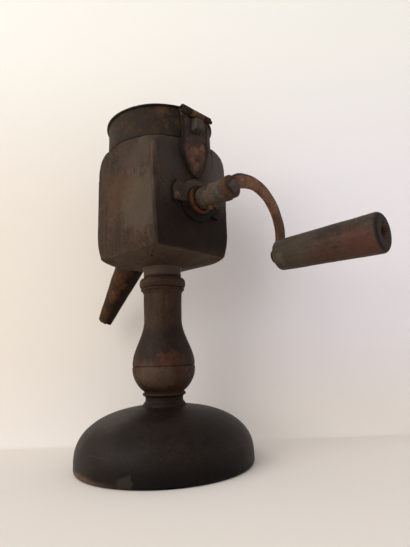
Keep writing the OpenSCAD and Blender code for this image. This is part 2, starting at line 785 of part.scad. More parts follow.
// The bowed flat arm with an eye on the axle and one at the spindle
module crank_arm() {
  bow_r = (crank_r * crank_r / 4 + arm_bow * arm_bow) / (2 * arm_bow);
  c = [crank_r / 2, arm_bow - bow_r];
  a0 = atan2(-c[1], -c[0]);
  a1 = atan2(-c[1], crank_r - c[0]);
  steps = 36;
  small_eye_r = arm_end_w / 2 + 1;
  function half_w(t) = (arm_root_w + (arm_end_w - arm_root_w) * min(1, 1.35 * t)) / 2;
  function edge(t, side) =
    let (a = a0 + (a1 - a0) * t, r = bow_r + side * half_w(t)) c + r * [cos(a), sin(a)];
  outer = [for (i = [0:steps]) edge(i / steps, 1)];
  inner = [for (i = [steps:-1:0]) edge(i / steps, -1)];
  color(rust) difference() {
    union() {
      sheet_yz(arm_x, arm_t) translate([axle_y, axle_z]) rotate(crank_angle)
        polygon(concat(outer, inner));
      on_axle(arm_x) cylinder(h = arm_t, r = eye_r);
      on_grip(arm_x) cylinder(h = arm_t, r = small_eye_r);
    }
    square_hole(arm_x - over, arm_t + 2 * over);
    on_grip(arm_x - over) cylinder(h = arm_t + 2 * over, r = spindle_r + seat_gap);
  }
}

// The round spindle, riveted over at the back of the arm
module grip_spindle() {
  head_h = 1.8;
  end_x = recess_x + washer_t + 5 * side_gap;
  color(rust) {
    on_grip(arm_x) cylinder(h = end_x - arm_x, r = spindle_r);
    on_grip(arm_x) rotate([180, 0, 0])
      rotate_extrude() polygon(concat([[0, 0]], dome(spindle_r + head_h, 0, head_h, 2, 8)));
  }
}

// The washer that keeps the grip on the spindle, down in the recess
module grip_washer() {
  color(iron) difference() {
    on_grip(recess_x + side_gap) cylinder(h = washer_t, r = washer_r);
    on_grip(recess_x) cylinder(h = recess_l, r = spindle_r + seat_gap);
  }
}

// The turned wooden grip, free to spin on the spindle
module grip() {
  in_r = grip_in_d / 2;
  out_r = grip_out_d / 2;
  in_end = [for (i = [0:6]) let (a = 90 * i / 6)
    [in_r - grip_round * (1 - sin(a)), grip_round * (1 - cos(a))]];
  out_end = [for (i = [0:6]) let (a = 90 * i / 6)
    [out_r - grip_round * (1 - cos(a)), grip_l - grip_round * (1 - sin(a))]];
  color(wood_grip) difference() {
    on_grip(grip_x) rotate_extrude() polygon(concat([[0, 0]], in_end, out_end, [[0, grip_l]]));
    on_grip(grip_x - over) cylinder(h = grip_l + 2 * over, r = spindle_r + run_gap);
    on_grip(recess_x) rotate(recess_turn) translate([-recess_w / 2, -recess_w / 2, 0])
      cube([recess_w, recess_w, recess_l + over]);
  }
}

// The spout's cone, its radius less by inset, carried on up into the block
module spout_cone(inset) {
  l_up = 26;
  slope = (spout_top_d - spout_end_d) / 2 / spout_l;
  on_spout() translate([0, 0, -l_up])
    cylinder(h = l_up + spout_l, r1 = spout_top_d / 2 + slope * l_up - inset, r2 = spout_end_d / 2 - inset);
}

// The rolled spout, notched over the block's lower edge, with its flange on the face
module spout() {
  color(iron) difference() {
    union() {
      difference() {
        spout_cone(0);
        spout_keepout();
      }
      translate([-face - flange_t, axle_y - flange_w / 2, flange_z])
        cube([flange_t, flange_w, spout_z + flange_top - flange_z]);
    }
    spout_cone(spout_t);
    on_spout() translate([0, 0, spout_l - over]) cylinder(h = 2 * over, r = spout_end_d / 2 - spout_t);
    spout_nail_places() nail(nail_l, nail_r, seat_gap);
  }
}

// The space of the block and all above it, which the spout's sheet stays out of
module spout_keepout() {
  block_outside();
  translate([-face, -face, block_z + block_taper_h]) cube([block_w, block_w, block_h]);
  translate([-block_low_w / 2, -face, block_z]) cube([block_w, block_w, block_taper_h]);
}

module spout_nail_places() {
  edge = 3.2;
  for (y = [-1, 1], z = [flange_z + edge, spout_z + flange_top - edge])
    translate([-face - flange_t, axle_y + y * (flange_w / 2 - edge), z]) rotate(180) children();
}

module spout_nails() {
  color(rust) spout_nail_places() nail(nail_l, nail_r);
}

foot();
stem();
mill_block();
hopper_band();
band_rivets();
band_nails();
hinge_plate();
hinge_pin();
hinge_bolt();
hinge_nut();
hinge_nail();
lid();
lid_strap();
lid_rivets();
bearing_plate();
bearing_nails();
front_bush();
grinding_shell();
rear_bridge();
axle();
rotor();
rotor_pin();
crank_collar();
collar_pin();
crank_arm();
grip_spindle();
grip_washer();
grip();
spout();
spout_nails();
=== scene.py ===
import json

import bpy
import numpy as np
from mathutils import Matrix, Vector


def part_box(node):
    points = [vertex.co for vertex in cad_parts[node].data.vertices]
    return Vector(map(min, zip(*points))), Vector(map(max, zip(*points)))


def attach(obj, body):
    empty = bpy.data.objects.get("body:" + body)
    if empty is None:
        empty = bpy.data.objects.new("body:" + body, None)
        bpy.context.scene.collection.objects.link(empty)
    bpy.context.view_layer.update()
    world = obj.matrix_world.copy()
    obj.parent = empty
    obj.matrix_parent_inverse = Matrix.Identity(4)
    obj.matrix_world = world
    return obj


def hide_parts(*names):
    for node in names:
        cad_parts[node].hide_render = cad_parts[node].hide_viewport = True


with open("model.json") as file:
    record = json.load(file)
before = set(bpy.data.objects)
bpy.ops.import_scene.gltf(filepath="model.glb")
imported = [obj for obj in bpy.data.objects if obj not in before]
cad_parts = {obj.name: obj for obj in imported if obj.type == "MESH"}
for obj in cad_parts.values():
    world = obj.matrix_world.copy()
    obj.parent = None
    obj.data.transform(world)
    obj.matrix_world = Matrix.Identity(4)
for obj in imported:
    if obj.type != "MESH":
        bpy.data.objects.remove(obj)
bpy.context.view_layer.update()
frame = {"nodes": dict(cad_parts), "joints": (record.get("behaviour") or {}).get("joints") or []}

# The foot is a heavy turned dome of dark hardwood, flat underneath, with a socket for the stem's tenon.
# It was turned on a lathe, blackened and waxed; at one side its lower rim is rubbed through to bare wood.
MM = 0.001
pole_r = 1 * MM
foot_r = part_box("foot")[1].x
foot_edge = 1.6 * MM
foot_wall = 4.5 * MM
dome_top = 32 * MM
dome_power = 2.4
seat_r = 13.05 * MM
seat_z = 31.2 * MM
socket_r = 8.05 * MM
socket_z = 9.15 * MM


def wobble(points, wavelength, seed, waves=7):
    """A smooth bumpy field from about -1 to 1: the mean of a few sine waves in random directions,
    each near one wavelength."""
    rng = np.random.default_rng(seed)
    way = rng.normal(size=(waves, 3))
    way /= np.linalg.norm(way, axis=1)[:, None]
    pitch = 2 * np.pi / (wavelength * rng.uniform(0.7, 1.4, waves))
    phase = rng.uniform(0, 2 * np.pi, waves)
    return np.sin(points @ (way * pitch[:, None]).T + phase).sum(-1) / np.sqrt(waves) / 1.6


def ramp(x, low, high):
    """A soft step: 0 at low, 1 at high and an S between them; low may lie above high."""
    t = np.clip((x - low) / (high - low), 0, 1)
    return t * t * (3 - 2 * t)


def skin(name, rings, masks=None, loop=False, crease=38):
    """A closed mesh over a grid of rings: each ring wraps round, neighbours are joined by quads, and the two
    end rings are closed by fans of triangles, or in a loop the last ring is joined to the first."""
    n, m, _ = rings.shape
    points = rings.reshape(-1, 3)
    i = np.arange(n if loop else n - 1)[:, None]
    j = np.arange(m)[None, :]
    near, far = i * m, ((i + 1) % n) * m
    right = (j + 1) % m
    quads = np.stack([near + j, near + right, far + right, far + j], -1).reshape(-1, 4)
    faces = quads.tolist()
    if not loop:
        points = np.vstack([points, rings[0].mean(0), rings[-1].mean(0)])
        k = np.arange(m)
        turn = (k + 1) % m
        start, end = n * m, n * m + 1
        last = (n - 1) * m
        faces += np.stack([np.full(m, start), turn, k], -1).tolist()
        faces += np.stack([np.full(m, end), last + k, last + turn], -1).tolist()
    a, b, c, d = (points[quads[:, q]] for q in range(4))
    middle = points.mean(0)
    volume = np.einsum("ij,ij->", a - middle, np.cross(c - a, d - b))
    if volume < 0:
        faces = [face[::-1] for face in faces]
    mesh = bpy.data.meshes.new(name)
    mesh.from_pydata(points.tolist(), [], faces)
    for label, mask in (masks or {}).items():
        values = np.broadcast_to(mask, (n, m)).reshape(-1)
        if not loop:
            values = np.append(values, [values[:m].mean(), values[-m:].mean()])
        layer = mesh.attributes.new(label, "FLOAT", "POINT")
        layer.data.foreach_set("value", values.astype(np.float32))
    mesh.shade_smooth()
    mesh.set_sharp_from_angle(angle=np.radians(crease))
    piece = bpy.data.objects.new(name, mesh)
    bpy.context.scene.collection.objects.link(piece)
    return piece


def lathe(profile, count):
    """Rings of a turned piece about Z: each profile point, radius and height, carried round a full circle."""
    angle = np.linspace(0, 2 * np.pi, count, endpoint=False)
    r, z = profile[:, :1], profile[:, 1:]
    return np.stack([r * np.cos(angle), r * np.sin(angle), np.broadcast_to(z, (len(r), count))], -1)


def spaced(profile, step):
    """The same outline with extra points, so that no two neighbours lie further apart than step."""
    gaps = np.linalg.norm(np.diff(profile, axis=0), axis=1)
    parts = [np.linspace(p, q, max(2, int(np.ceil(g / step)) + 1))[:-1]
             for p, q, g in zip(profile[:-1], profile[1:], gaps)]
    return np.vstack(parts + [profile[-1:]])


def shrink(rings, depth):
    """Moves each point towards the Z axis by depth, which is an array over the rings."""
    flat = rings[..., :2]
    r = np.linalg.norm(flat, axis=-1)
    rings[..., :2] -= flat * (depth / np.maximum(r, 1e-6))[..., None]
    return rings


rim_turn = np.radians(np.linspace(-90, 0, 7))
foot_rim = np.stack([foot_r - foot_edge + foot_edge * np.cos(rim_turn),
                     foot_edge + foot_edge * np.sin(rim_turn)], -1)
dome_stop = np.arccos((seat_r / foot_r) ** (dome_power / 2))
dome_turn = np.linspace(0, dome_stop, 60)
foot_dome = np.stack([foot_r * np.cos(dome_turn) ** (2 / dome_power),
                      foot_wall + (dome_top - foot_wall) * np.sin(dome_turn) ** (2 / dome_power)], -1)
foot_socket = [[seat_r, seat_z], [socket_r, seat_z], [socket_r, socket_z], [pole_r, socket_z]]
foot_profile = np.vstack([[[pole_r, 0]], foot_rim, foot_dome, foot_socket])
foot_rings = lathe(spaced(foot_profile, 1.2 * MM), 240)
foot_z = foot_rings[..., 2]
foot_shown = foot_z > 0.2 * MM
foot_outside = ramp(np.linalg.norm(foot_rings[..., :2], axis=-1), 14 * MM, 18 * MM) * foot_shown
foot_chips = ramp(wobble(foot_rings, 9 * MM, 3), 0.25, 0.9) * ramp(foot_z, 6 * MM, 1.5 * MM)
foot_dents = 0.25 * MM * (1 + wobble(foot_rings, 60 * MM, 1))
foot_dents += 0.06 * MM * (1 + wobble(foot_rings, 8 * MM, 2))
foot_rings = shrink(foot_rings, foot_outside * (foot_dents + 0.5 * MM * foot_chips))
foot_across = (foot_rings[..., 0] + foot_rings[..., 1]) / np.sqrt(2)
foot_wear = ramp(foot_z, 4 * MM, 1.0 * MM) * (0.32 + 0.45 * wobble(foot_rings, 26 * MM, 4))
foot_rub = ramp(foot_z, 6 * MM, 2 * MM) * ramp(foot_across, -20 * MM, -38 * MM)
foot_rub *= 0.45 + 0.4 * wobble(foot_rings, 15 * MM, 5)
foot_wear = np.clip(np.clip(foot_wear, 0, 1) + foot_rub, 0, 1) * foot_shown
# Painted shade: the foot is made darker low down, except on the side towards the lamp.
foot_painted_shade = ramp(foot_z, 16 * MM, 3 * MM) * ramp(foot_across, -42 * MM, -6 * MM)
foot = skin("foot_turned", foot_rings, {"wear": foot_wear, "grime": foot_painted_shade})


class Nodes:
    """Adds shader nodes to one tree, and gives what they put out."""

    def __init__(self, tree):
        self.tree = tree

    def add(self, kind, inputs=None, **settings):
        """A new node: each input takes a value, or a link where it is given another node's socket."""
        made = self.tree.nodes.new("ShaderNode" + kind)
        for key, value in settings.items():
            setattr(made, key, value)
        for key, value in (inputs or {}).items():
            if isinstance(value, bpy.types.NodeSocket):
                self.link(value, made.inputs[key])
            else:
                made.inputs[key].default_value = value
        return made

    def link(self, value, socket):
        """Joins what one node puts out to another node's input."""
        self.tree.links.new(value, socket)

    def coords(self):
        """The place on the piece, in the piece's own frame."""
        return self.add("TexCoord").outputs["Object"]

    def mask(self, label):
        """The value of one of the piece's own masks."""
        return self.add("Attribute", attribute_name=label).outputs["Fac"]

    def noise(self, coords, scale, detail=3.0, rough=0.55):
        """The grey value of a noise pattern of that scale, in features per metre."""
        inputs = {"Vector": coords, "Scale": scale, "Detail": detail, "Roughness": rough}
        return self.add("TexNoise", inputs).outputs["Fac"]

    def cells(self, coords, scale):
        """The outputs of a pattern of random cells of that scale, in cells per metre."""
        return self.add("TexVoronoi", {"Vector": coords, "Scale": scale, "Randomness": 1.0}).outputs

    def stretch(self, value, low, high):
        """0 at low and 1 at high, with a soft step between them; low may lie above high."""
        inputs = {"Value": value, "From Min": low, "From Max": high}
        return self.add("MapRange", inputs, interpolation_type="SMOOTHSTEP").outputs["Result"]

    def maths(self, operation, a, b, clamp=False):
        """One sum, product or the like of two values."""
        return self.add("Math", {0: a, 1: b}, operation=operation, use_clamp=clamp).outputs[0]

    def plus(self, a, b, clamp=False):
        """The sum of two values."""
        return self.maths("ADD", a, b, clamp)

    def less(self, a, b):
        """The first value less the second."""
        return self.maths("SUBTRACT", a, b)

    def times(self, a, b, clamp=False):
        """The product of two values."""
        return self.maths("MULTIPLY", a, b, clamp)

    def vectors(self, operation, a, b, output):
        """What one operation on two vectors puts out."""
        return self.add("VectorMath", {0: a, 1: b}, operation=operation).outputs[output]

    def lit(self, value, colour):
        """A colour made lighter or darker by the value."""
        return self.add("HueSaturation", {"Value": value, "Color": colour}).outputs["Color"]

    def blend(self, share, a, b):
        """Colour a turned into colour b by the share."""
        return self.add("Mix", {0: share, 6: a, 7: b}, data_type="RGBA").outputs[2]


def effect(name, inputs, outputs):
    """A new shader node group with named sockets; gives its nodes, and the sockets it reads and fills."""
    tree = bpy.data.node_groups.new(name, "ShaderNodeTree")
    for label, kind in inputs.items():
        tree.interface.new_socket(name=label, in_out="INPUT", socket_type="NodeSocket" + kind)
    for label, kind in outputs.items():
        tree.interface.new_socket(name=label, in_out="OUTPUT", socket_type="NodeSocket" + kind)
    return Nodes(tree), tree.nodes.new("NodeGroupInput").outputs, tree.nodes.new("NodeGroupOutput").inputs


# Old wood, shared by foot, stem, block and grip: long grain along the pattern's Z, dirty patches,
# open pores, and places rubbed to a lighter colour where the piece's own wear mask says so.
pore_black = (0.006, 0.004, 0.003, 1)
wood, put, out = effect(
    "old_wood",
    {"Coords": "Vector", "Wear": "Float", "Deep": "Color", "Warm": "Color", "Worn": "Color",
     "Streaks": "Float", "Pores": "Float", "Gloss": "Float"},
    {"Color": "Color", "Roughness": "Float", "Height": "Float"})
grain_way = wood.vectors("MULTIPLY", put["Coords"], (1, 1, 0.07), 0)
wood_patch = wood.stretch(wood.noise(put["Coords"], 62, 5, 0.6), 0.3, 0.7)
wood_streak = wood.noise(grain_way, 480, 4, 0.6)
wood_mottle = wood.noise(put["Coords"], 780, 3, 0.6)
wood_cells = wood.cells(put["Coords"], 560)["Distance"]
pore_place = wood.stretch(wood.noise(put["Coords"], 170, 2), 0.42, 0.62)
wood_pore = wood.times(wood.stretch(wood_cells, 0.3, 0.12), pore_place)
wood_pore = wood.times(wood_pore, put["Pores"], True)
wood_base = wood.blend(wood_patch, put["Deep"], put["Warm"])
streak_light = wood.times(wood.less(wood_streak, 0.5), put["Streaks"])
mottle_light = wood.times(wood.less(wood_mottle, 0.5), 1.6)
wood_tone = wood.lit(wood.plus(wood.plus(streak_light, mottle_light), 1.0), wood_base)
wear_break = wood.plus(put["Wear"], wood.less(wood.noise(put["Coords"], 330, 4), 0.55))
wood_wear = wood.times(wood.stretch(wear_break, 0.15, 0.75), wood.stretch(put["Wear"], 0.02, 0.2))
wood_tone = wood.blend(wood_wear, wood_tone, put["Worn"])
wood.link(wood.blend(wood_pore, wood_tone, pore_black), out["Color"])
wood_rough = wood.plus(put["Gloss"], wood.times(wood_mottle, 0.22))
wood.link(wood.plus(wood_rough, wood.times(wood_pore, 0.3), True), out["Roughness"])
wood_relief = wood.plus(wood.times(wood_streak, 0.6), wood.times(wood_mottle, 0.5))
wood.link(wood.less(wood_relief, wood.times(wood_pore, 0.8)), out["Height"])


def finish_from(name, group, values, specular, strength, bump, turn=(0, 0, 0)):
    """A new finish in which a group's colour, roughness, metal share and height feed the shader; turn lays
    the pattern along another way."""
    material = bpy.data.materials.new(name)
    material.use_nodes = True
    nodes, shader = Nodes(material.node_tree), material.node_tree.nodes["Principled BSDF"]
    place = nodes.add("Mapping", {"Vector": nodes.coords(), "Rotation": turn}).outputs[0]
    made = nodes.add("Group", {"Coords": place, "Wear": nodes.mask("wear"), **values}, node_tree=group.tree)
    for label, socket in (("Color", "Base Color"), ("Roughness", "Roughness"), ("Metallic", "Metallic")):
        if label in made.outputs:
            nodes.link(made.outputs[label], shader.inputs[socket])
    relief = nodes.add("Bump", {"Height": made.outputs["Height"], "Strength": strength, "Distance": bump})
    nodes.link(relief.outputs[0], shader.inputs["Normal"])
    shader.inputs["Specular IOR Level"].default_value = specular
    return material


def wood_material(name, deep, warm, worn, streaks, pores, gloss, bump, turn=(0, 0, 0)):
    """A finish of old wood; turn lays the grain along another way than Z."""
    values = {"Deep": (*deep, 1), "Warm": (*warm, 1), "Worn": (*worn, 1), "Streaks": streaks, "Pores": pores,
              "Gloss": gloss}
    return finish_from(name, wood, values, 0.11, 0.5, bump, turn)


def mix_in(material, mask, colour, share):
    """Mixes one more colour into a finish by a mask, on top of what feeds its base colour."""
    nodes = Nodes(material.node_tree)
    base = material.node_tree.nodes["Principled BSDF"].inputs["Base Color"]
    amount = nodes.times(mask, share, True)
    nodes.link(nodes.blend(amount, base.links[0].from_socket, (*colour, 1)), base)


def mix_mask(material, label, colour, share):
    """Mixes a colour into a finish where the piece's own mask of that name says so."""
    mix_in(material, Nodes(material.node_tree).mask(label), colour, share)


# Marks of the lathe, shared by the wooden pieces: thin broken rings at set radii and heights, and a few
# pale specks of dust; the mask goes into the finish as a paler colour.
marks, put, out = effect("turn_marks", {"Coords": "Vector", "Specks": "Float"}, {"Mask": "Float"})
mark_parts = marks.add("SeparateXYZ", {0: put["Coords"]}).outputs
mark_flat = marks.add("CombineXYZ", {0: mark_parts["X"], 1: mark_parts["Y"]}).outputs[0]
mark_radius = marks.add("VectorMath", {0: mark_flat}, operation="LENGTH").outputs["Value"]
mark_place = marks.add("CombineXYZ", {0: mark_radius, 2: mark_parts["Z"]}).outputs[0]
mark_lines = marks.stretch(marks.noise(mark_place, 900, 3, 0.7), 0.60, 0.72)
mark_break = marks.stretch(marks.noise(put["Coords"], 75, 3), 0.52, 0.66)
mark_cells = marks.cells(put["Coords"], 95)
speck_pick = marks.stretch(marks.add("SeparateColor", {0: mark_cells["Color"]}).outputs[0], 0.90, 0.92)
speck = marks.times(marks.stretch(mark_cells["Distance"], 0.075, 0.035), speck_pick)
speck = marks.times(speck, put["Specks"])
marks.link(marks.maths("MAXIMUM", marks.times(mark_lines, mark_break), speck), out["Mask"])


def mark_turning(material, colour, share, specks):
    """Adds the lathe's marks to a finish."""
    nodes = Nodes(material.node_tree)
    made = nodes.add("Group", {"Coords": nodes.coords(), "Specks": specks}, node_tree=marks.tree)
    mix_in(material, made.outputs["Mask"], colour, share)


# A soft spot, shared by wood and iron: the distance from a place, made ragged by noise, turned to a mask.
# It stands for a rubbed, stained or rusted patch that belongs at one place on a piece; on the bearing disc
# one spot is partly painted light.
patch, put, out = effect(
    "soft_spot",
    {"Coords": "Vector", "Place": "Vector", "Reach": "Float", "Ragged": "Float"},
    {"Mask": "Float"})
patch_gap = patch.vectors("DISTANCE", put["Coords"], put["Place"], "Value")
patch_noise = patch.less(patch.noise(put["Coords"], 260, 5, 0.62), 0.5)
patch_gap = patch.plus(patch_gap, patch.times(patch_noise, put["Ragged"]))
patch.link(patch.stretch(patch.maths("DIVIDE", patch_gap, put["Reach"]), 1.0, 0.45), out["Mask"])


def spots(material, *rows):
    """Adds soft ragged spots to a finish, one on top of the other: each row gives a place on the piece, and
    the reach, raggedness, share and colour of the spot there, with lengths in millimetres."""
    nodes = Nodes(material.node_tree)
    for place, reach, ragged, share, colour in rows:
        inputs = {"Coords": nodes.coords(), "Place": [length * MM for length in place], "Reach": reach * MM,
                  "Ragged": ragged * MM}
        made = nodes.add("Group", inputs, node_tree=patch.tree)
        mix_in(material, made.outputs["Mask"], colour, share)


foot_finish = wood_material("blackened_wood", deep=(0.0085, 0.0052, 0.0036), warm=(0.0170, 0.0105, 0.0072),
                            worn=(0.085, 0.046, 0.026), streaks=0.5, pores=0.35, gloss=0.36, bump=0.15 * MM)
mark_turning(foot_finish, (0.075, 0.062, 0.055), 0.35, 1.0)
mix_mask(foot_finish, "grime", (0.0026, 0.0014, 0.0009), 0.9)
spots(foot_finish,
      ((-2, -33, 28), 13, 26, 0.45, (0.050, 0.041, 0.033)),
      ((24, -44, 1), 6, 16, 0.35, (0.055, 0.044, 0.035)))
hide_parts("foot")
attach(foot, "frame")
foot.data.materials.append(foot_finish)

# The stem is a turned baluster of like wood: ring, belly with a scribed line, slim shaft, fillet and bead.
# Its tenons are glued into foot and block; the belly is rubbed pale below and shows bare red wood above.
block_low, block_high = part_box("mill_block")
under_z = block_low.z
under_drop = 6.2 * MM
edge_z = under_z + under_drop
stem_seat_r = 13 * MM
low_neck_r = 11.2 * MM
ring_r = 12.9 * MM
ring_z = seat_z + 7 * MM
ring_half = 0.9 * MM
ring_root_r = low_neck_r + 0.7 * MM
belly_r = 18.7 * MM
belly_z = seat_z + 21.4 * MM
belly_foot_r = ring_r - 0.6 * MM
belly_power = 1.7
scribe = 0.5 * MM
shaft_r = 11.5 * MM
shaft_z = seat_z + 50 * MM
bead_r = 14.2 * MM
bead_z = edge_z - 16 * MM
bead_half = 2.9 * MM
bead_low, bead_high = bead_z - bead_half, bead_z + bead_half
fillet_h = 1.6 * MM
top_neck_r = 11.7 * MM
tenon_r = 8 * MM
tenon_gap = 0.1 * MM
tenon_top = edge_z + 13 * MM


def s_curve(a, b, count):
    """Points from a to b whose radius follows half a cosine wave while the height rises evenly."""
    t = np.linspace(0, 1, count)
    return np.stack([a[0] + (b[0] - a[0]) * (1 - np.cos(np.pi * t)) / 2, a[1] + (b[1] - a[1]) * t], -1)


def bulge(r, out_by, low, high, count):
    """A half-ellipse bead that stands out from radius r between two heights."""
    turn = np.linspace(0, np.pi, count)
    return np.stack([r + out_by * np.sin(turn), (low + high) / 2 - (high - low) / 2 * np.cos(turn)], -1)


belly_turn = np.linspace(0, np.pi / 2, 16)
belly_rise = belly_z - ring_z - 2 * ring_half
belly_low = np.stack([belly_foot_r + (belly_r - belly_foot_r) * np.sin(belly_turn) ** belly_power,
                      belly_z - belly_rise * np.cos(belly_turn)], -1)
stem_profile = np.vstack([
    [[pole_r, socket_z + tenon_gap], [tenon_r, socket_z + tenon_gap], [tenon_r, seat_z],
     [stem_seat_r, seat_z]],
    s_curve((stem_seat_r - 0.2 * MM, seat_z + 0.8 * MM), (low_neck_r, seat_z + 3.5 * MM), 8),
    [[low_neck_r, ring_z - 2 * ring_half]],
    bulge(ring_root_r, ring_r - ring_root_r, ring_z - ring_half, ring_z + ring_half, 10),
    belly_low,
    [[belly_r - 0.05 * MM, belly_z + 2 * scribe], [belly_r - 1.2 * scribe, belly_z + 3 * scribe],
     [belly_r - 0.05 * MM, belly_z + 4 * scribe]],
    s_curve((belly_r - 0.15 * MM, belly_z + 5 * scribe), (shaft_r, shaft_z), 30),
    [[shaft_r + 0.2 * MM, bead_low - 3.5 * MM]],
    bulge(bead_r - 1.6 * MM, 0.8 * MM, bead_low - fillet_h, bead_low, 8),
    bulge(bead_r - 1.3 * MM, 1.3 * MM, bead_low, bead_high, 14),
    [[top_neck_r, bead_high + 0.6 * MM], [top_neck_r - scribe, bead_high + 1.1 * MM],
     [top_neck_r, bead_high + 1.6 * MM]],
    s_curve((top_neck_r, under_z - 2 * MM), (top_neck_r + 1 * MM, under_z), 8),
    [[tenon_r, under_z], [tenon_r, tenon_top], [pole_r, tenon_top]]])
stem_rings = lathe(spaced(stem_profile, 0.9 * MM), 160)
stem_r = np.linalg.norm(stem_rings[..., :2], axis=-1)
stem_z = stem_rings[..., 2]
stem_shown = (stem_z > seat_z + 0.3 * MM) & (stem_z < under_z - 0.1 * MM)
stem_dents = 0.14 * MM * (1 + wobble(stem_rings, 32 * MM, 11))
stem_dents += 0.05 * MM * (1 + wobble(stem_rings, 6 * MM, 12))
stem_rings = shrink(stem_rings, stem_dents * stem_shown)
stem_bulge = ramp(stem_r, 16.2 * MM, 18.6 * MM) * (stem_z < belly_z + 1 * MM)
stem_ridge = ramp(stem_r, 13.2 * MM, 14.2 * MM) * (np.abs(stem_z - bead_z) < 3 * MM)
stem_wear = (0.55 * stem_bulge + 0.35 * stem_ridge) * (0.6 + 0.7 * wobble(stem_rings, 17 * MM, 13))
stem_wear = np.clip(stem_wear, 0, 1) * stem_shown
# Painted light: the neck just under the block is made lighter where the block's dish shades it.
stem_painted_light = ramp(stem_z, bead_z + 2.5 * MM, bead_z + 6 * MM) * stem_shown
# Painted shade: a band above the belly where the lamp falls, and the stem below the ring down to the foot.
stem_painted_shade = np.maximum(0.5 * ramp(np.abs(stem_z - belly_z - 15 * MM), 13 * MM, 5 * MM),
                        ramp(stem_z, ring_z + 0.5 * MM, ring_z - 2 * MM))
stem = skin("stem_turned", stem_rings, {"wear": stem_wear, "dust": stem_painted_light, "grime": stem_painted_shade}, crease=32)
stem_finish = wood_material("stem_wood_worn", deep=(0.0190, 0.0098, 0.0060), warm=(0.0410, 0.0200, 0.0108),
                            worn=(0.088, 0.046, 0.026), streaks=1.1, pores=0.55, gloss=0.46, bump=0.2 * MM)
mark_turning(stem_finish, (0.060, 0.042, 0.030), 0.4, 0.3)
mix_mask(stem_finish, "grime", (0.0088, 0.0052, 0.0037), 0.85)
mix_mask(stem_finish, "dust", (0.070, 0.050, 0.037), 0.65)
bare_red = (0.062, 0.021, 0.012)
rubbed_pale = (0.080, 0.052, 0.035)
belly_mm = belly_z / MM
spots(stem_finish,
      ((13.4, -12.2, belly_mm + 4.8), 4.6, 16, 0.85, bare_red),
      ((15.8, -8.6, belly_mm + 6), 4.4, 16, 0.75, bare_red),
      ((17.7, -4.3, belly_mm + 5.4), 4.4, 16, 0.55, bare_red),
      ((17.6, -5.4, belly_mm - 3.5), 9, 16, 0.5, (0.046, 0.020, 0.0125)),
      ((-1.4, -18.6, belly_mm + 2.6), 4.5, 8, 0.6, bare_red),
      ((6.2, -16.7, belly_mm - 3), 9.5, 9, 0.6, rubbed_pale),
      ((13.8, -10.9, belly_mm - 4), 8, 9, 0.4, rubbed_pale))
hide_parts("stem")
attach(stem, "frame")
stem.data.materials.append(stem_finish)

# The mill block is a squared post of wood, drawn in at its lower edge and turned to a shoulder at the top,
# where a round spigot enters the band. It is dished underneath; funnel and bores are cut in it. Its faces
# have twisted a little, and the shoulder was turned higher over two of its corners.
block_half = 28.6 * MM
block_low_half = 26.8 * MM
block_taper = 15 * MM
block_corner = block_half * np.sqrt(2) + 1 * MM
low_edge = 0.5 * MM
band_r = 33 * MM
shoulder_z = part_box("hopper_band")[0].z
shoulder_h = 17.5 * MM
flare_h = 12 * MM
flare_low_r = block_half - 1 * MM
crest_h = 4.4 * MM
crest_r = band_r - 0.3 * MM
spigot_r = 32.05 * MM
spigot_z = block_high.z
under_in_r = 13.7 * MM
under_front_r = 29 * MM
under_power = 1.4
back_bow = 3.4 * MM
back_rise = 14 * MM
funnel_r = 23 * MM
throat_r = 5.5 * MM
crank_joint = next(j for j in frame["joints"] if j["name"] == "crank_turn")
axle_y, axle_z = crank_joint["pos_m"][1:]
funnel_y = axle_y / 2
funnel_z = axle_z + 13.5 * MM
throat_z = axle_z + 4 * MM
block_angle = np.linspace(0, 2 * np.pi, 360, endpoint=False)


def squared(half, angle, power=140):
    """Radius of a square with rubbed corners at an angle: the half side over the high-power norm of cosine
    and sine."""
    return half / (np.abs(np.cos(angle)) ** power + np.abs(np.sin(angle)) ** power) ** (1 / power)


def lesser(a, b, power=46):
    """The smaller of two radii, with the change from one to the other rounded off."""
    return (a ** -power + b ** -power) ** (-1 / power)


def greater(a, b, power=110):
    """The larger of two radii, with the change from one to the other rounded off."""
    return (a ** power + b ** power) ** (1 / power)


crest = crest_h * np.sqrt(ramp(np.sin(2 * block_angle), 0.83, 0.95))


def turned_square(z, half):
    """Radius of the squared post at each height and angle, with its corners turned away at the top by a
    quarter ellipse that runs in to the band and ends higher over two corners than elsewhere."""
    share = np.clip((z[:, None] - shoulder_z - crest + shoulder_h) / shoulder_h, 0, 1)
    ellipse = crest_r + (block_corner - crest_r) * np.sqrt(1 - share ** 2)
    return lesser(squared(half[:, None], block_angle), np.where(share > 0, ellipse, 1.2 * block_corner))


side_z = np.concatenate([edge_z + low_edge * np.array([0.0, 0.15, 0.5, 1.0]),
                         np.linspace(edge_z + 1.5 * MM, shoulder_z - 0.3 * MM, 70)])
crest_z = np.linspace(shoulder_z + 0.05 * MM, shoulder_z + 4.75 * MM, 14)
side_taper = np.sin(np.pi / 2 * np.clip((side_z - edge_z) / block_taper, 0, 1))
side_half = block_low_half + (block_half - block_low_half) * side_taper
side_half = side_half - low_edge * np.clip(1 - (side_z - edge_z) / low_edge, 0, 1) ** 2
side_flare = flare_low_r + (band_r - flare_low_r) * (side_z - shoulder_z + flare_h) / flare_h
side_radius = greater(turned_square(side_z, side_half), side_flare[:, None])
crest_radius = np.maximum(turned_square(crest_z, np.full(len(crest_z), block_half)), spigot_r)
socket_wall = tenon_r + 0.05 * MM
socket_top = edge_z + 13.05 * MM
under_share = np.linspace(0, 1, 26)
under_radius = socket_wall + under_share[:, None] * (side_radius[0] - socket_wall)
at_back = 0.5 - 0.5 * np.cos(block_angle + np.pi / 4)
under_far_r = np.minimum(side_radius[0], under_front_r) * (1 - at_back) + side_radius[0] * at_back
corner_tan = np.abs(np.tan(block_angle))
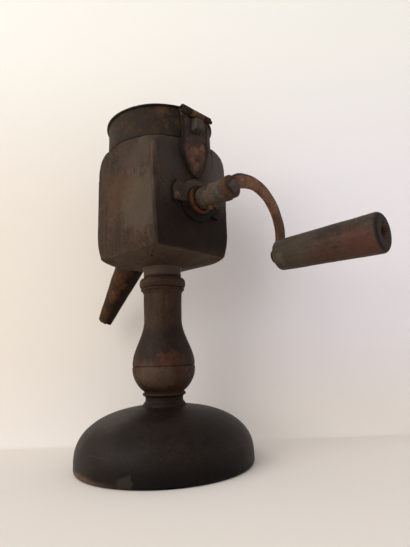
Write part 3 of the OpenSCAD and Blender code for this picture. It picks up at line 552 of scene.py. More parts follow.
from_corner = np.minimum(corner_tan, 1 / np.maximum(corner_tan, 1e-6))
on_back_face = np.sin(block_angle - np.pi / 4) > 0
back_fall = back_bow * (1 - from_corner ** 4) * on_back_face
under_steep = np.clip((under_far_r - under_radius) / (under_far_r - under_in_r), 0, 1) ** under_power
under_fall = back_fall + (under_drop - back_fall) * under_steep
side_fall = under_fall[-1] * np.clip(1 - (side_z - edge_z) / back_rise, 0, 1)[:, None]
funnel_share = np.linspace(0, 1, 12)
funnel_radius = funnel_r + (throat_r - funnel_r) * funnel_share
funnel_rise = spigot_z - (spigot_z - funnel_z) * funnel_share


def ring_row(radius, z, centre_y=0.0):
    """One ring with the given radii and heights, about an upright line at y = centre_y."""
    radius = np.broadcast_to(radius, block_angle.shape)
    z = np.broadcast_to(z, block_angle.shape)
    return np.stack([radius * np.cos(block_angle), centre_y + radius * np.sin(block_angle), z], -1)


block_rows = [ring_row(pole_r, socket_top), ring_row(socket_wall, socket_top)]
block_rows += [ring_row(radius, edge_z - fall) for radius, fall in zip(under_radius, under_fall)]
under_rows = len(block_rows)
block_rows += [ring_row(radius, z - fall)
               for radius, z, fall in zip(side_radius[1:], side_z[1:], side_fall[1:])]
block_rows += [ring_row(np.maximum(band_r - 0.1 * MM, crest_radius[0]), shoulder_z - 0.05 * MM)]
block_rows += [ring_row(radius, z) for radius, z in zip(crest_radius, crest_z)]
block_rows += [ring_row(spigot_r, crest_z[-1] + 0.05 * MM), ring_row(spigot_r, spigot_z)]
block_rows += [ring_row(radius, z, funnel_y) for radius, z in zip(funnel_radius, funnel_rise)]
block_rows += [ring_row(throat_r, throat_z, funnel_y), ring_row(pole_r, throat_z, funnel_y)]
block_rings = np.array(block_rows)
block_height = block_rings[..., 2]
block_out = np.linalg.norm(block_rings[..., :2], axis=-1)
on_side = ramp(block_out, 24 * MM, 26 * MM) * (block_height < shoulder_z - 0.5 * MM)
nibble = ramp(wobble(block_rings, 8 * MM, 22), 0.35, 1.0) * ramp(block_out, 35 * MM, 39 * MM)
block_dents = 0.07 * MM * (1 + wobble(block_rings, 30 * MM, 21))
block_dents += 0.035 * MM * (1 + wobble(block_rings, 5 * MM, 23))
block_rings = shrink(block_rings, on_side * (block_dents + 0.16 * MM * nibble))
twist_z = [edge_z, 135 * MM, 150 * MM, 172 * MM, shoulder_z]
twist = np.interp(block_height, twist_z, np.radians([2.6, 1.3, 0, -1.2, -1.2]))
twist *= (0.5 + 0.5 * np.cos(block_angle + np.pi / 4)) * ramp(block_out, 14 * MM, 26 * MM)
twist *= np.where(block_height < shoulder_z - 0.1 * MM, 1.0, ramp(block_out, 33 * MM, 34.5 * MM))
block_x, block_y = block_rings[..., 0].copy(), block_rings[..., 1].copy()
block_rings[..., 0] = block_x * np.cos(twist) - block_y * np.sin(twist)
block_rings[..., 1] = block_x * np.sin(twist) + block_y * np.cos(twist)
block_x, block_y = block_rings[..., 0], block_rings[..., 1]
block_y += 2 * MM * ramp(block_y, 19 * MM, 27 * MM) * ramp(block_out, 26 * MM, 34 * MM)
block_edge = ramp(block_out, 39.2 * MM, 40.0 * MM) * ramp(block_height, 166 * MM, 150 * MM)
block_rim = ramp(np.abs(block_height - edge_z), 1.6 * MM, 0.3 * MM) * ramp(block_out, 25 * MM, 26.5 * MM)
block_strip = ramp(block_x, 26 * MM, 27.5 * MM) * ramp(block_y, -25 * MM, -27.5 * MM)
block_wear = 0.6 * block_edge + 0.55 * block_rim + 0.6 * block_strip * (block_height > edge_z + 1 * MM)
block_wear = np.clip(block_wear * (0.6 + 0.5 * wobble(block_rings, 15 * MM, 24)), 0, 1)
# Painted shade: the crank face is made darker towards the bottom.
block_painted_shade = ramp(block_x, 25.5 * MM, 27.5 * MM) * ramp(block_height, 172 * MM, 138 * MM)
block_under = np.zeros(block_out.shape)
block_under[2:under_rows] = ramp(block_out[2:under_rows], 12 * MM, 30 * MM)
# The crank face made lighter and greyer towards the top and the far corner: partly grey dust, partly painted
# light.
block_dust_and_painted_light = ramp(block_x, 24 * MM, 27.5 * MM) * ramp(block_height, 138 * MM, 170 * MM)
block_dust_and_painted_light *= 0.15 + 0.85 * ramp(block_y, 6 * MM, 22 * MM)
block_masks = {"wear": block_wear, "grime": block_painted_shade, "under": block_under, "dust": block_dust_and_painted_light}
block = skin("block_squared", block_rings, block_masks, crease=34)


def cut_away(piece, cutters):
    """Cuts the closed cutter meshes out of a piece, and removes them."""
    for cutter in cutters:
        step = piece.modifiers.new("cut", "BOOLEAN")
        step.operation = "DIFFERENCE"
        step.solver = "EXACT"
        step.object = cutter
    bpy.context.view_layer.update()
    seen = piece.evaluated_get(bpy.context.evaluated_depsgraph_get())
    cut = bpy.data.meshes.new_from_object(seen)
    piece.modifiers.clear()
    piece.data = cut
    for cutter in cutters:
        bpy.data.objects.remove(cutter)


def along(start, way, length, radius_a, radius_b, count=64):
    """Rings of a straight round bar or cone from start along way, its radius changing evenly."""
    way = np.array(way, float) / np.linalg.norm(way)
    side = np.cross(way, (0, 1, 0) if abs(way[1]) < 0.9 else (1, 0, 0))
    side /= np.linalg.norm(side)
    up = np.cross(way, side)
    angle = np.linspace(0, 2 * np.pi, count, endpoint=False)[None, :, None]
    circle = side * np.cos(angle) + up * np.sin(angle)
    t = np.array([0.0, 1.0])[:, None, None]
    return np.array(start) + way * length * t + circle * (radius_a + (radius_b - radius_a) * t)


def rounded_box(half_u, half_v, power, count):
    """Points of a closed outline between an ellipse and a rectangle: a superellipse of that power."""
    angle = np.linspace(0, 2 * np.pi, count, endpoint=False)
    c, s = np.cos(angle), np.sin(angle)
    return half_u * np.sign(c) * np.abs(c) ** (2 / power), half_v * np.sign(s) * np.abs(s) ** (2 / power)


def pillow(low, high, power=7, rows=26, count=48):
    """A block with rubbed edges and corners: a superellipsoid that fills the box from low to high, its rings
    along X."""
    low, high = np.array(low), np.array(high)
    turn = np.linspace(-np.pi / 2, np.pi / 2, rows + 2)[1:-1]
    along_x = np.sign(np.sin(turn)) * np.abs(np.sin(turn)) ** (2 / power)
    across = np.abs(np.cos(turn))[:, None] ** (2 / power)
    u, v = rounded_box(1.0, 1.0, power, count)
    unit = np.stack([np.broadcast_to(along_x[:, None], (rows, count)), across * u, across * v], -1)
    return (low + high) / 2 + unit * (high - low) / 2


works_r = 11.5 * MM
works_back = 15.5 * MM
chamber_r = 9 * MM
chamber_back = 22 * MM
discharge_r = 6 * MM
spout_tilt = np.radians(42)
spout_way = np.array([-np.sin(spout_tilt), 0, -np.cos(spout_tilt)])
spout_mouth = np.array([-block_half, axle_y, edge_z + 12 * MM])
worm_holes = np.array([(15.1, -19.8, 0.65), (11.8, -17.6, 0.8), (17.3, -14.4, 0.7)]) * MM
worm_way, worm_l = (0.05, 0.1, 1), 12 * MM
crack_low, crack_high = np.array([(26, 18.3, 175), (33, 18.65, 188)]) * MM
discharge_top = spout_mouth - 14 * MM * spout_way
block_cuts = [
    skin("cut_works", along((-works_back, axle_y, axle_z), (1, 0, 0), 60 * MM, works_r, works_r)),
    skin("cut_chamber", along((-chamber_back, axle_y, axle_z), (1, 0, 0), 8 * MM, chamber_r, chamber_r)),
    skin("cut_discharge", along(discharge_top, spout_way, 32 * MM, discharge_r, discharge_r)),
    *(skin("cut_worm", along((x, y, edge_z - 5 * MM), worm_way, worm_l, r, 0.8 * r, 12))
      for x, y, r in worm_holes),
    skin("cut_crack", pillow(crack_low, crack_high))]
cut_away(block, block_cuts)
block_finish = wood_material("block_wood_dry", deep=(0.0270, 0.0160, 0.0100), warm=(0.0480, 0.0260, 0.0142),
                             worn=(0.092, 0.052, 0.036), streaks=1.4, pores=1.0, gloss=0.56, bump=0.3 * MM)
mark_turning(block_finish, (0.070, 0.050, 0.037), 0.25, 0.3)
side_mm = block_half / MM
spots(block_finish,
      ((-1.7, -side_mm, 157), 21, 26, 0.5, (0.070, 0.034, 0.0175)),
      ((15, -side_mm, 146), 23, 30, 0.55, (0.076, 0.058, 0.039)),
      ((12, -side_mm, 180), 20, 24, 0.5, (0.066, 0.050, 0.038)),
      ((side_mm, -14, 172), 15, 16, 0.55, (0.033, 0.028, 0.030)))
mix_mask(block_finish, "grime", (0.0080, 0.0047, 0.0038), 0.8)
mix_mask(block_finish, "under", (0.066, 0.045, 0.031), 0.7)
mix_mask(block_finish, "dust", (0.092, 0.076, 0.070), 0.8)
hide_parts("mill_block")
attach(block, "frame")
block.data.materials.append(block_finish)

# The hopper is a band of sheet iron wrapped round the spigot, lapped and riveted at the back and nailed to
# the wood. It has a dark patina with rust coming through in patches, and it is not quite round any more.
band_low, band_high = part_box("hopper_band")
band_t = 0.9 * MM
rim_z = band_high.z
lap_half = np.radians(9)
lap_soft = 0.012
hinge_joint = next(j for j in frame["joints"] if j["name"] == "lid_hinge")
hinge_x, hinge_y, hinge_z = hinge_joint["pos_m"]
notch_half = 5.4 * MM
notch_depth = 1.5 * MM
band_angle = block_angle[:, None]
band_u, band_v = rounded_box(1.0, 1.0, 14, 72)
from_lap = np.abs(np.angle(np.exp(1j * (band_angle - np.pi))))
band_outer = band_r + band_t * ramp(from_lap, lap_half + lap_soft, lap_half - lap_soft)
notch = (np.abs(band_r * np.sin(band_angle) - hinge_y) < notch_half) & (np.cos(band_angle) > 0)
band_top = rim_z - notch_depth * notch
band_inner = band_r - band_t
band_radius = (band_inner + band_outer) / 2 + band_u[None, :] * (band_outer - band_inner) / 2
band_height = (band_low.z + band_top) / 2 + band_v[None, :] * (band_top - band_low.z) / 2
band_rings = np.stack([band_radius * np.cos(band_angle), band_radius * np.sin(band_angle), band_height], -1)
band_free = ramp(band_rings[..., 2], spigot_z, spigot_z + 4 * MM) * ramp(np.cos(band_angle), 0.9, 0.6)
band_rings = shrink(band_rings, 0.14 * MM * band_free * (1 + wobble(band_rings, 30 * MM, 31)))
band_rim = ramp(band_rings[..., 2], rim_z - 1.2 * MM, rim_z)
wood_top = shoulder_z + crest[:, None] * ramp(squared(block_half, band_angle), band_r, band_r + 1.5 * MM)
# Painted shade: a dark line along the band's lower edge, just above the wood.
band_painted_shade = ramp(band_rings[..., 2] - wood_top, 1.7 * MM, 0.3 * MM)
band = skin("band_sheet", band_rings, {"wear": 0.5 * band_rim, "grime": band_painted_shade}, loop=True)

# Old iron, shared by all the iron pieces: a dark skin, rust in patches with brighter spots in it,
# fine pitting all over, and bare metal where the piece's wear mask says so.
iron, put, out = effect(
    "old_iron",
    {"Coords": "Vector", "Wear": "Float", "Skin": "Color", "Rust": "Color", "Bright": "Color",
     "Bare": "Color", "Amount": "Float", "Shine": "Float"},
    {"Color": "Color", "Roughness": "Float", "Metallic": "Float", "Height": "Float"})
rust_edge = iron.plus(iron.noise(put["Coords"], 120, 7, 0.66), iron.less(put["Amount"], 0.5))
rust_share = iron.stretch(rust_edge, 0.44, 0.62)
iron_speck = iron.noise(put["Coords"], 1100, 4, 0.65)
rust_spot = iron.stretch(iron.noise(put["Coords"], 420, 4, 0.6), 0.52, 0.72)
speck_light = iron.plus(0.45, iron.times(iron_speck, 1.1))
rust_tone = iron.lit(speck_light, iron.blend(rust_spot, put["Rust"], put["Bright"]))
iron_tone = iron.blend(rust_share, iron.lit(speck_light, put["Skin"]), rust_tone)
bare_edge = iron.plus(put["Wear"], iron.less(iron.noise(put["Coords"], 380, 4), 0.6))
bare_share = iron.times(iron.stretch(bare_edge, 0.2, 0.7), iron.stretch(put["Wear"], 0.02, 0.2))
iron.link(iron.blend(bare_share, iron_tone, put["Bare"]), out["Color"])
iron_rough = iron.plus(put["Shine"], iron.times(rust_share, 0.28))
iron_rough = iron.plus(iron_rough, iron.times(iron_speck, 0.14), True)
iron.link(iron.less(iron_rough, iron.times(bare_share, 0.12)), out["Roughness"])
iron_shine = iron.less(0.55, iron.times(rust_share, 0.5))
iron.link(iron.plus(iron_shine, iron.times(bare_share, 0.05), True), out["Metallic"])
iron_relief = iron.plus(iron.times(iron_speck, 0.6), iron.times(rust_share, 0.4))
iron.link(iron.plus(iron_relief, iron.times(rust_spot, 0.25)), out["Height"])


def iron_material(name, dark, rust, bright, bare, amount, shine, bump):
    """A finish of old iron with that amount of rust, from 0 to 1."""
    values = {"Skin": (*dark, 1), "Rust": (*rust, 1), "Bright": (*bright, 1), "Bare": (*bare, 1),
              "Amount": amount, "Shine": shine}
    return finish_from(name, iron, values, 0.16, 0.6, bump)


def finish_nodes(material, *nodes):
    """Gives CAD pieces whose shape is right a finish."""
    for label in nodes:
        mesh = frame["nodes"][label].data
        mesh.materials.clear()
        mesh.materials.append(material)


sheet_finish = iron_material("sheet_iron_patina", dark=(0.026, 0.020, 0.0145), rust=(0.048, 0.024, 0.012),
                             bright=(0.13, 0.052, 0.022), bare=(0.065, 0.054, 0.042),
                             amount=0.44, shine=0.54, bump=0.25 * MM)
rust_finish = iron_material("forged_iron_rusted", dark=(0.050, 0.036, 0.028), rust=(0.085, 0.043, 0.026),
                            bright=(0.19, 0.085, 0.042), bare=(0.13, 0.105, 0.085),
                            amount=0.62, shine=0.56, bump=0.35 * MM)
band_finish = iron_material("band_iron_patina", dark=(0.0225, 0.0165, 0.0110), rust=(0.041, 0.0235, 0.0130),
                            bright=(0.080, 0.040, 0.020), bare=(0.042, 0.034, 0.026),
                            amount=0.50, shine=0.58, bump=0.3 * MM)
spots(band_finish,
      ((26.3, -20, 202), 6, 22, 0.38, (0.10, 0.043, 0.020)),
      ((11, -31.1, 193), 4.5, 18, 0.3, (0.10, 0.043, 0.022)),
      ((-14, -30, 195), 14, 16, 0.4, (0.042, 0.036, 0.028)),
      ((13, -30, 199), 11, 16, 0.4, (0.016, 0.0125, 0.0092)))
mix_mask(band_finish, "grime", (0.0045, 0.0035, 0.0028), 0.85)
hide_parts("hopper_band")
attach(band, "frame")
band.data.materials.append(band_finish)
finish_nodes(rust_finish, "band_rivets", "band_nails")

# The hinge plate is a forged shield-shaped strap: rolled knuckles at the top, flat on the band, its tail bent
# in to the wood and nailed. A square-headed bolt with a square nut inside holds it to the band.
plate_half = 11 * MM
plate_t = 1.2 * MM
plate_waist = 0.9 * MM
plate_back = band_r + 0.05 * MM
tail_l = 22 * MM
tail_in = 2 * MM
tail_skew = 3.2 * MM
tail_blunt = 0.8
tip_z = shoulder_z - tail_l
taper_z = shoulder_z - 0.3 * tail_l
knuckle_r = 2.2 * MM
pin_r = 1.1 * MM
knuckle_bore = pin_r + 0.05 * MM
knuckle_gate = 5.4 * MM
gate_z = hinge_z - knuckle_r - 0.8 * MM
lug_half = 2.75 * MM
lug_out = 8.2 * MM


def strap(rows, half, thick, seed, shift=0.0, power=9, count=40):
    """Rings of a flat strap: at each row, an x and z of its back, a rounded flat section as wide as half
    says, its thickness along the row's own normal, with a slightly wavy outline and hammered faces."""
    rows = np.asarray(rows, float)
    way = np.gradient(rows, axis=0)
    way /= np.linalg.norm(way, axis=1)[:, None]
    out_x, out_z = -way[:, 1:], way[:, :1]
    u, v = rounded_box(1.0, 0.5, power, count)
    depth = thick * (0.5 + v)[None, :]
    y = hinge_y + np.asarray(half)[:, None] * u[None, :] + np.reshape(shift, (-1, 1))
    rings = np.stack([rows[:, :1] + out_x * depth, y, rows[:, 1:] + out_z * depth], -1)
    rings[..., 1] += (rings[..., 1] - hinge_y) * 0.05 * wobble(rings, 8 * MM, seed)
    rings[..., 0] += 0.2 * MM * wobble(rings, 6 * MM, seed + 1)
    return rings


def joined(name, pieces):
    """One piece from several closed shells."""
    for piece in pieces:
        piece.data.update()
    chosen = {"active_object": pieces[0], "selected_editable_objects": pieces, "selected_objects": pieces}
    with bpy.context.temp_override(**chosen):
        bpy.ops.object.join()
    pieces[0].name = name
    return pieces[0]


def tube(y0, y1, outer, inner, seed):
    """Rings of a rolled knuckle along Y: the closed outline of its wall, with rubbed outer edges, carried
    round the pin and made slightly oval."""
    rub_y, rub_r = 0.25 * MM, 0.2 * MM
    wall = np.array([[outer, y0 + rub_y], [outer, y1 - rub_y], [outer - rub_r, y1], [inner, y1], [inner, y0],
                     [outer - rub_r, y0]])
    angle = np.linspace(0, 2 * np.pi, 48, endpoint=False)
    r = wall[:, :1] + 0.07 * MM * np.sin(angle * 2 + seed) * (wall[:, :1] > inner + 0.1 * MM)
    y = np.broadcast_to(wall[:, 1:], r.shape)
    return np.stack([hinge_x + r * np.cos(angle), hinge_y + y, hinge_z + r * np.sin(angle)], -1)


taper = np.linspace(0, 0.97, 16)
flat_z = np.concatenate([np.linspace(gate_z, shoulder_z + 0.5 * MM, 10),
                         np.linspace(shoulder_z - 0.5 * MM, taper_z + 0.6 * MM, 5)])
plate_z = np.concatenate([flat_z, taper_z + (tip_z - taper_z) * np.sin(np.pi / 2 * taper ** 2)])
plate_x = plate_back + np.minimum(0, plate_z - shoulder_z) * tail_in / tail_l
waist = plate_waist * np.exp(-((flat_z - shoulder_z - 4 * MM) / (4 * MM)) ** 2)
plate_w = np.concatenate([plate_half - waist, plate_half * np.cos(np.pi / 2 * taper) ** tail_blunt])
plate_shift = np.concatenate([np.zeros(len(flat_z)), tail_skew * taper ** 2])
plate_rings = strap(np.stack([plate_x, plate_z], -1), plate_w, plate_t, 41, plate_shift)
# Painted shade: the plate is made darker along its edges and over its tip.
plate_rim = ramp(np.abs(rounded_box(1.0, 0.5, 9, 40)[0]), 0.62, 0.98)
plate_painted_shade = np.maximum(plate_rim, np.linspace(-3.5, 1, len(plate_z))[:, None])
hinge_pieces = [skin("plate_body", plate_rings, {"grime": plate_painted_shade})]
lug_rows = np.stack([np.full(4, plate_back), np.linspace(hinge_z + 0.5 * MM, gate_z - 0.5 * MM, 4)], -1)
for label, side, seed in (("lug_left", -1, 43), ("lug_right", 1, 44)):
    lug = strap(lug_rows, np.full(4, lug_half), plate_t, seed)
    lug[..., 1] += side * lug_out
    hinge_pieces.append(skin(label, lug))
for label, low, high, seed in (("knuckle_left", -12 * MM, -knuckle_gate, 0.4),
                               ("knuckle_right", knuckle_gate, 11 * MM, 2.0)):
    knuckle = tube(low, high, knuckle_r, knuckle_bore, seed)
    hinge_pieces.append(skin(label, knuckle, {"grime": 0.85}, loop=True))
plate = joined("hinge_plate_forged", hinge_pieces)
plate_finish = iron_material("hinge_iron_rusted", dark=(0.040, 0.029, 0.025), rust=(0.078, 0.042, 0.030),
                             bright=(0.22, 0.100, 0.056), bare=(0.12, 0.10, 0.085),
                             amount=0.55, shine=0.62, bump=0.8 * MM)
plate_mm, pit_mm = (band_r + plate_t) / MM, (band_r + 0.6 * plate_t) / MM
pit_black, fleck_orange = (0.013, 0.0080, 0.0062), (0.21, 0.098, 0.055)
spots(plate_finish,
      ((plate_mm, 1.5, 176), 10, 24, 0.45, (0.120, 0.056, 0.034)),
      ((plate_mm, -3, 191), 12, 18, 0.6, (0.036, 0.029, 0.026)))
for y, z, reach in ((0.6, 174, 2.4), (1.6, 166.5, 2.2), (6.6, 184, 2.6), (-5, 179.5, 1.8)):
    spots(plate_finish, ((pit_mm, y, z), reach, 9, 0.65, pit_black))
for y, z, reach in ((1.4, 171, 2.2), (-0.7, 178.5, 2.6), (4.4, 182.5, 2.4), (-2.8, 172.5, 1.8)):
    spots(plate_finish, ((pit_mm, y, z), reach, 9, 0.55, fleck_orange))
mix_mask(plate_finish, "grime", (0.012, 0.009, 0.0075), 0.85)
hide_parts("hinge_plate")
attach(plate, "frame")
plate.data.materials.append(plate_finish)
bolt_low, bolt_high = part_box("hinge_bolt")
bolt_mid = (bolt_low + bolt_high) / 2
bolt_face = band_r + plate_t
shank_r = 2 * MM
bolt_head = pillow((bolt_face - 0.2 * MM, bolt_low.y, bolt_low.z), bolt_high)
head_share = ramp(bolt_head[..., 0], bolt_face, bolt_high.x)
for axis, middle, drawn_in in ((1, bolt_mid.y, 0.12), (2, bolt_mid.z, 0.26)):
    bolt_head[..., axis] = middle + (bolt_head[..., axis] - middle) * (1 - drawn_in * head_share)
bolt_head += 0.1 * MM * wobble(bolt_head, 4 * MM, 51)[..., None]
shank_start = (bolt_low.x, bolt_mid.y, bolt_mid.z)
bolt_shank = along(shank_start, (1, 0, 0), bolt_face - bolt_low.x, shank_r, shank_r, 32)
bolt = joined("hinge_bolt_square", [skin("bolt_head", bolt_head, crease=50), skin("bolt_shank", bolt_shank)])
bolt_finish = iron_material("bolt_iron_dark", dark=(0.056, 0.045, 0.038), rust=(0.066, 0.042, 0.029),
                            bright=(0.14, 0.075, 0.045), bare=(0.12, 0.11, 0.10),
                            amount=0.36, shine=0.52, bump=0.3 * MM)
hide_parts("hinge_bolt")
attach(bolt, "frame")
bolt.data.materials.append(bolt_finish)
finish_nodes(sheet_finish, "hinge_pin", "hinge_nut")
finish_nodes(rust_finish, "hinge_nail")

# The lid is a flat disc of sheet iron, cut straight beside the hinge, a little bent with use. A strap is
# riveted under it, passes through the band's notch and is rolled round the pin as the middle knuckle.
lid_low, lid_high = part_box("lid")
lid_r = lid_high.y
lid_cut = lid_high.x
lid_angle = np.linspace(0, 2 * np.pi, 240, endpoint=False)
lid_nicks = 0.04 * MM * (1 + np.sin(5 * lid_angle) * np.sin(3 * lid_angle + 1))
lid_edge = np.minimum(lid_r, lid_cut / np.maximum(np.cos(lid_angle), 0.2)) - lid_nicks
lid_share = np.concatenate([np.linspace(0.02, 0.985, 16), [1.0, 1.0], np.linspace(0.985, 0.02, 16)])[:, None]
lid_rise = np.concatenate([np.zeros(16), [0.3, 0.7], np.ones(16)])[:, None]
lid_reach = lid_share * lid_edge
lid_z = np.broadcast_to(lid_low.z + (lid_high.z - lid_low.z) * lid_rise, lid_reach.shape)
lid_rings = np.stack([lid_reach * np.cos(lid_angle), lid_reach * np.sin(lid_angle), lid_z], -1)
lid_rings[..., 2] += 0.12 * MM * (1 + wobble(lid_rings * np.array([1, 1, 0]), 26 * MM, 61))
lid = skin("lid_sheet", lid_rings, {"wear": 0.2 * ramp(lid_share, 0.96, 1.0)})
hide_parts("lid")
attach(lid, "lid_body")
lid.data.materials.append(sheet_finish)
finish_nodes(rust_finish, "lid_strap", "lid_rivets")

# The bearing plate is a hammered iron disc with two nailed ears on the crank face; the bush's thick rim
# stands out through its middle and carries the axle. Both are rusted, the bush bright orange-brown below.
disc_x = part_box("bearing_plate")[1].x
disc_back = block_half - 0.1 * MM
disc_r = 13 * MM
ear_r = 19.6 * MM
ear_half = 0.36
nose_r = 8.6 * MM
disc_angle = np.linspace(0, 2 * np.pi, 200, endpoint=False)[:, None]


def ear(angle, centre, half):
    """1 over the ear's spread of angles and 0 outside it, with soft flanks."""
    gap = np.abs(np.angle(np.exp(1j * (angle - centre))))
    return ramp(gap, half + 0.09, half - 0.03)


ears = ear(disc_angle, np.radians(169), ear_half) + ear(disc_angle, np.radians(-7), ear_half)
disc_outer = disc_r + (ear_r - disc_r) * ears * (1 + 0.05 * np.sin(9 * disc_angle))
disc_outer = disc_outer - 0.25 * MM * np.cos(8 * disc_angle) ** 2
disc_u, disc_v = rounded_box(1.0, 1.0, 8, 44)
disc_radius = (nose_r + disc_outer) / 2 + disc_u * (disc_outer - nose_r) / 2
disc_thick = disc_x - disc_back - 0.5 * MM * ears * ramp(disc_radius, 12 * MM, 15 * MM)
disc_depth = disc_back + (0.5 + 0.5 * disc_v) * disc_thick
disc_y = axle_y + disc_radius * np.cos(disc_angle)
disc_z = axle_z + disc_radius * np.sin(disc_angle)
disc_rings = np.stack([disc_depth, disc_y, disc_z], -1)
disc_rings[..., 0] += 0.16 * MM * (wobble(disc_rings, 6 * MM, 71) - 0.6) * (disc_v > 0)
# Painted shade: the disc is darker below the axle, less so on the lamp's side ear, with dark rims round both
# ears.
disc_painted_shade = ramp(disc_z - axle_z, 7 * MM, -2 * MM) * (1 - 0.75 * ears * (np.cos(disc_angle) < 0))
disc_painted_shade = np.maximum(disc_painted_shade, ramp(disc_u, 0.82, 0.97) * ears)
disc = skin("bearing_disc_hammered", disc_rings, {"grime": disc_painted_shade}, loop=True, crease=45)
disc_finish = iron_material("bearing_iron", dark=(0.048, 0.036, 0.031), rust=(0.078, 0.045, 0.032),
                            bright=(0.16, 0.080, 0.045), bare=(0.10, 0.085, 0.07),
                            amount=0.50, shine=0.60, bump=0.6 * MM)
disc_mm, axle_y_mm, axle_z_mm = disc_x / MM, axle_y / MM, axle_z / MM
spots(disc_finish,
      ((disc_mm, axle_y_mm - 15, axle_z_mm + 6), 7, 14, 0.6, (0.030, 0.022, 0.019)),
      ((disc_mm, axle_y_mm - 18, axle_z_mm - 1), 5, 12, 0.5, (0.115, 0.074, 0.060)),
      # This last spot, lighter over the disc's upper part, is partly rust and partly painted light.
      ((disc_mm, axle_y_mm - 2, axle_z_mm + 11), 8, 12, 0.6, (0.090, 0.061, 0.049)))
mix_mask(disc_finish, "grime", (0.0065, 0.0048, 0.0042), 0.9)
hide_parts("bearing_plate")
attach(disc, "frame")
disc.data.materials.append(disc_finish)


def lathe_x(profile, count, y, z, power=None):
    """Rings of a piece turned about a line along X: each profile point is x and radius. Where power is given,
    one value a row, the section goes from round at 2 towards square at high values."""
    angle = np.linspace(0, 2 * np.pi, count, endpoint=False)
    radius = np.broadcast_to(profile[:, 1:], (len(profile), count))
    if power is not None:
        radius = squared(radius, angle, np.asarray(power, float)[:, None])
    x = np.broadcast_to(profile[:, :1], radius.shape)
    return np.stack([x, y + radius * np.cos(angle), z + radius * np.sin(angle)], -1)


bush_low, bush_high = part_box("front_bush")
bush_r = bush_high.z - axle_z
bush_bore = 5.66 * MM
bush_seat = block_half - 0.2 * MM
nose_round = 0.9 * MM
nose_x = bush_high.x
bush_profile = np.array([
    [bush_low.x, bush_bore], [bush_low.x, bush_r], [bush_seat, bush_r], [bush_seat, nose_r],
    [nose_x - nose_round, nose_r], [nose_x - 0.3 * nose_round, nose_r - 0.3 * nose_round],
    [nose_x, nose_r - nose_round], [nose_x, nose_r - 1.7 * MM], [nose_x - 1.4 * MM, nose_r - 2.1 * MM],
    [nose_x - 1.6 * MM, bush_bore]])
bush_rings = lathe_x(spaced(bush_profile, 0.9 * MM), 96, axle_y, axle_z)
bush_pits = 0.12 * MM * (1 + wobble(bush_rings, 5 * MM, 72))
bush_rings[..., 0] -= bush_pits * ramp(bush_rings[..., 0], block_half, nose_x)
axle_at = np.array([axle_y, axle_z])
bush_far = np.linalg.norm(bush_rings[..., 1:] - axle_at, axis=-1)
# Painted shade in the bore and on the nose's inner face; the bush is also made darker above the axle.
bush_shade_and_dark_top = np.maximum(ramp(bush_rings[..., 0], nose_x - 0.7 * MM, nose_x - 1.5 * MM),
                        ramp(bush_far, nose_r - 1.5 * MM, nose_r - 2 * MM))
bush_shade_and_dark_top = np.maximum(bush_shade_and_dark_top, 0.9 * ramp(bush_rings[..., 2] - axle_z, 1 * MM, 5.5 * MM))
bush = skin("bush_turned", bush_rings, {"grime": bush_shade_and_dark_top}, loop=True)
bush_finish = iron_material("bush_iron_orange", dark=(0.041, 0.0165, 0.0078), rust=(0.083, 0.0275, 0.0098),
                            bright=(0.14, 0.050, 0.018), bare=(0.14, 0.10, 0.07),
                            amount=0.62, shine=0.60, bump=0.6 * MM)
mix_mask(bush_finish, "grime", (0.013, 0.0068, 0.0042), 0.9)
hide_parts("front_bush")
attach(bush, "frame")
bush.data.materials.append(bush_finish)
finish_nodes(rust_finish, "bearing_nails")

# The grinding works sit out of sight in the block: a fluted shell, a rear bridge for the axle's tail and a
# fluted rotor pinned to the axle. They are plain iron, oily and dark.
works_finish = iron_material("works_iron", dark=(0.075, 0.070, 0.065), rust=(0.070, 0.045, 0.030),
                             bright=(0.12, 0.07, 0.04), bare=(0.2, 0.19, 0.18),
                             amount=0.30, shine=0.42, bump=0.15 * MM)
finish_nodes(works_finish, "grinding_shell", "rear_bridge", "rotor", "rotor_pin")

# The axle is forged: a round tail, a seat for the rotor, the journal in the bush, then a square end that
# carries collar and arm and stands out past them, its end burred by blows.
axle_low, axle_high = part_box("axle")
tail_r = 3 * MM
rotor_seat_r = 4.6 * MM
journal_r = 5.6 * MM
square_half = 3.3 * MM
square_power = 9.0
rotor_low, rotor_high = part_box("rotor")
collar_low, collar_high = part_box("crank_collar")
grip_joint = next(j for j in frame["joints"] if j["name"] == "grip_spin")
grip_y, grip_z = grip_joint["pos_m"][1:]
crank_tilt = np.arctan2(grip_z - axle_z, grip_y - axle_y)
tilt = np.array([[np.cos(crank_tilt), -np.sin(crank_tilt)], [np.sin(crank_tilt), np.cos(crank_tilt)]])
axle_profile = np.array([
    [axle_low.x, tail_r - 0.4 * MM], [axle_low.x + 0.4 * MM, tail_r], [rotor_low.x - 0.05 * MM, tail_r],
    [rotor_low.x, rotor_seat_r], [rotor_high.x + 0.3 * MM, rotor_seat_r], [bush_low.x, journal_r],
    [collar_low.x - 0.1 * MM, journal_r], [collar_low.x + 0.2 * MM, square_half],
    [axle_high.x - 2.6 * MM, square_half], [axle_high.x - 0.6 * MM, square_half - 0.9 * MM],
    [axle_high.x, square_half - 1.7 * MM]])
axle_profile = spaced(axle_profile, 1.0 * MM)
axle_power = np.where(axle_profile[:, 0] > collar_low.x + 0.1 * MM, square_power, 2.0)
axle_rings = lathe_x(axle_profile, 64, 0, 0, axle_power)
axle_burr = wobble(axle_rings, 4 * MM, 81) * ramp(axle_rings[..., 0], collar_high.x, axle_high.x)
axle_rings += 0.24 * MM * axle_burr[..., None]
axle_rings[..., 1:] = axle_rings[..., 1:] @ tilt.T + axle_at
axle_end = ramp(axle_rings[..., 0], axle_high.x - 4 * MM, axle_high.x - 1 * MM)
axle = skin("axle_forged", axle_rings, {"wear": 0.75 * axle_end})
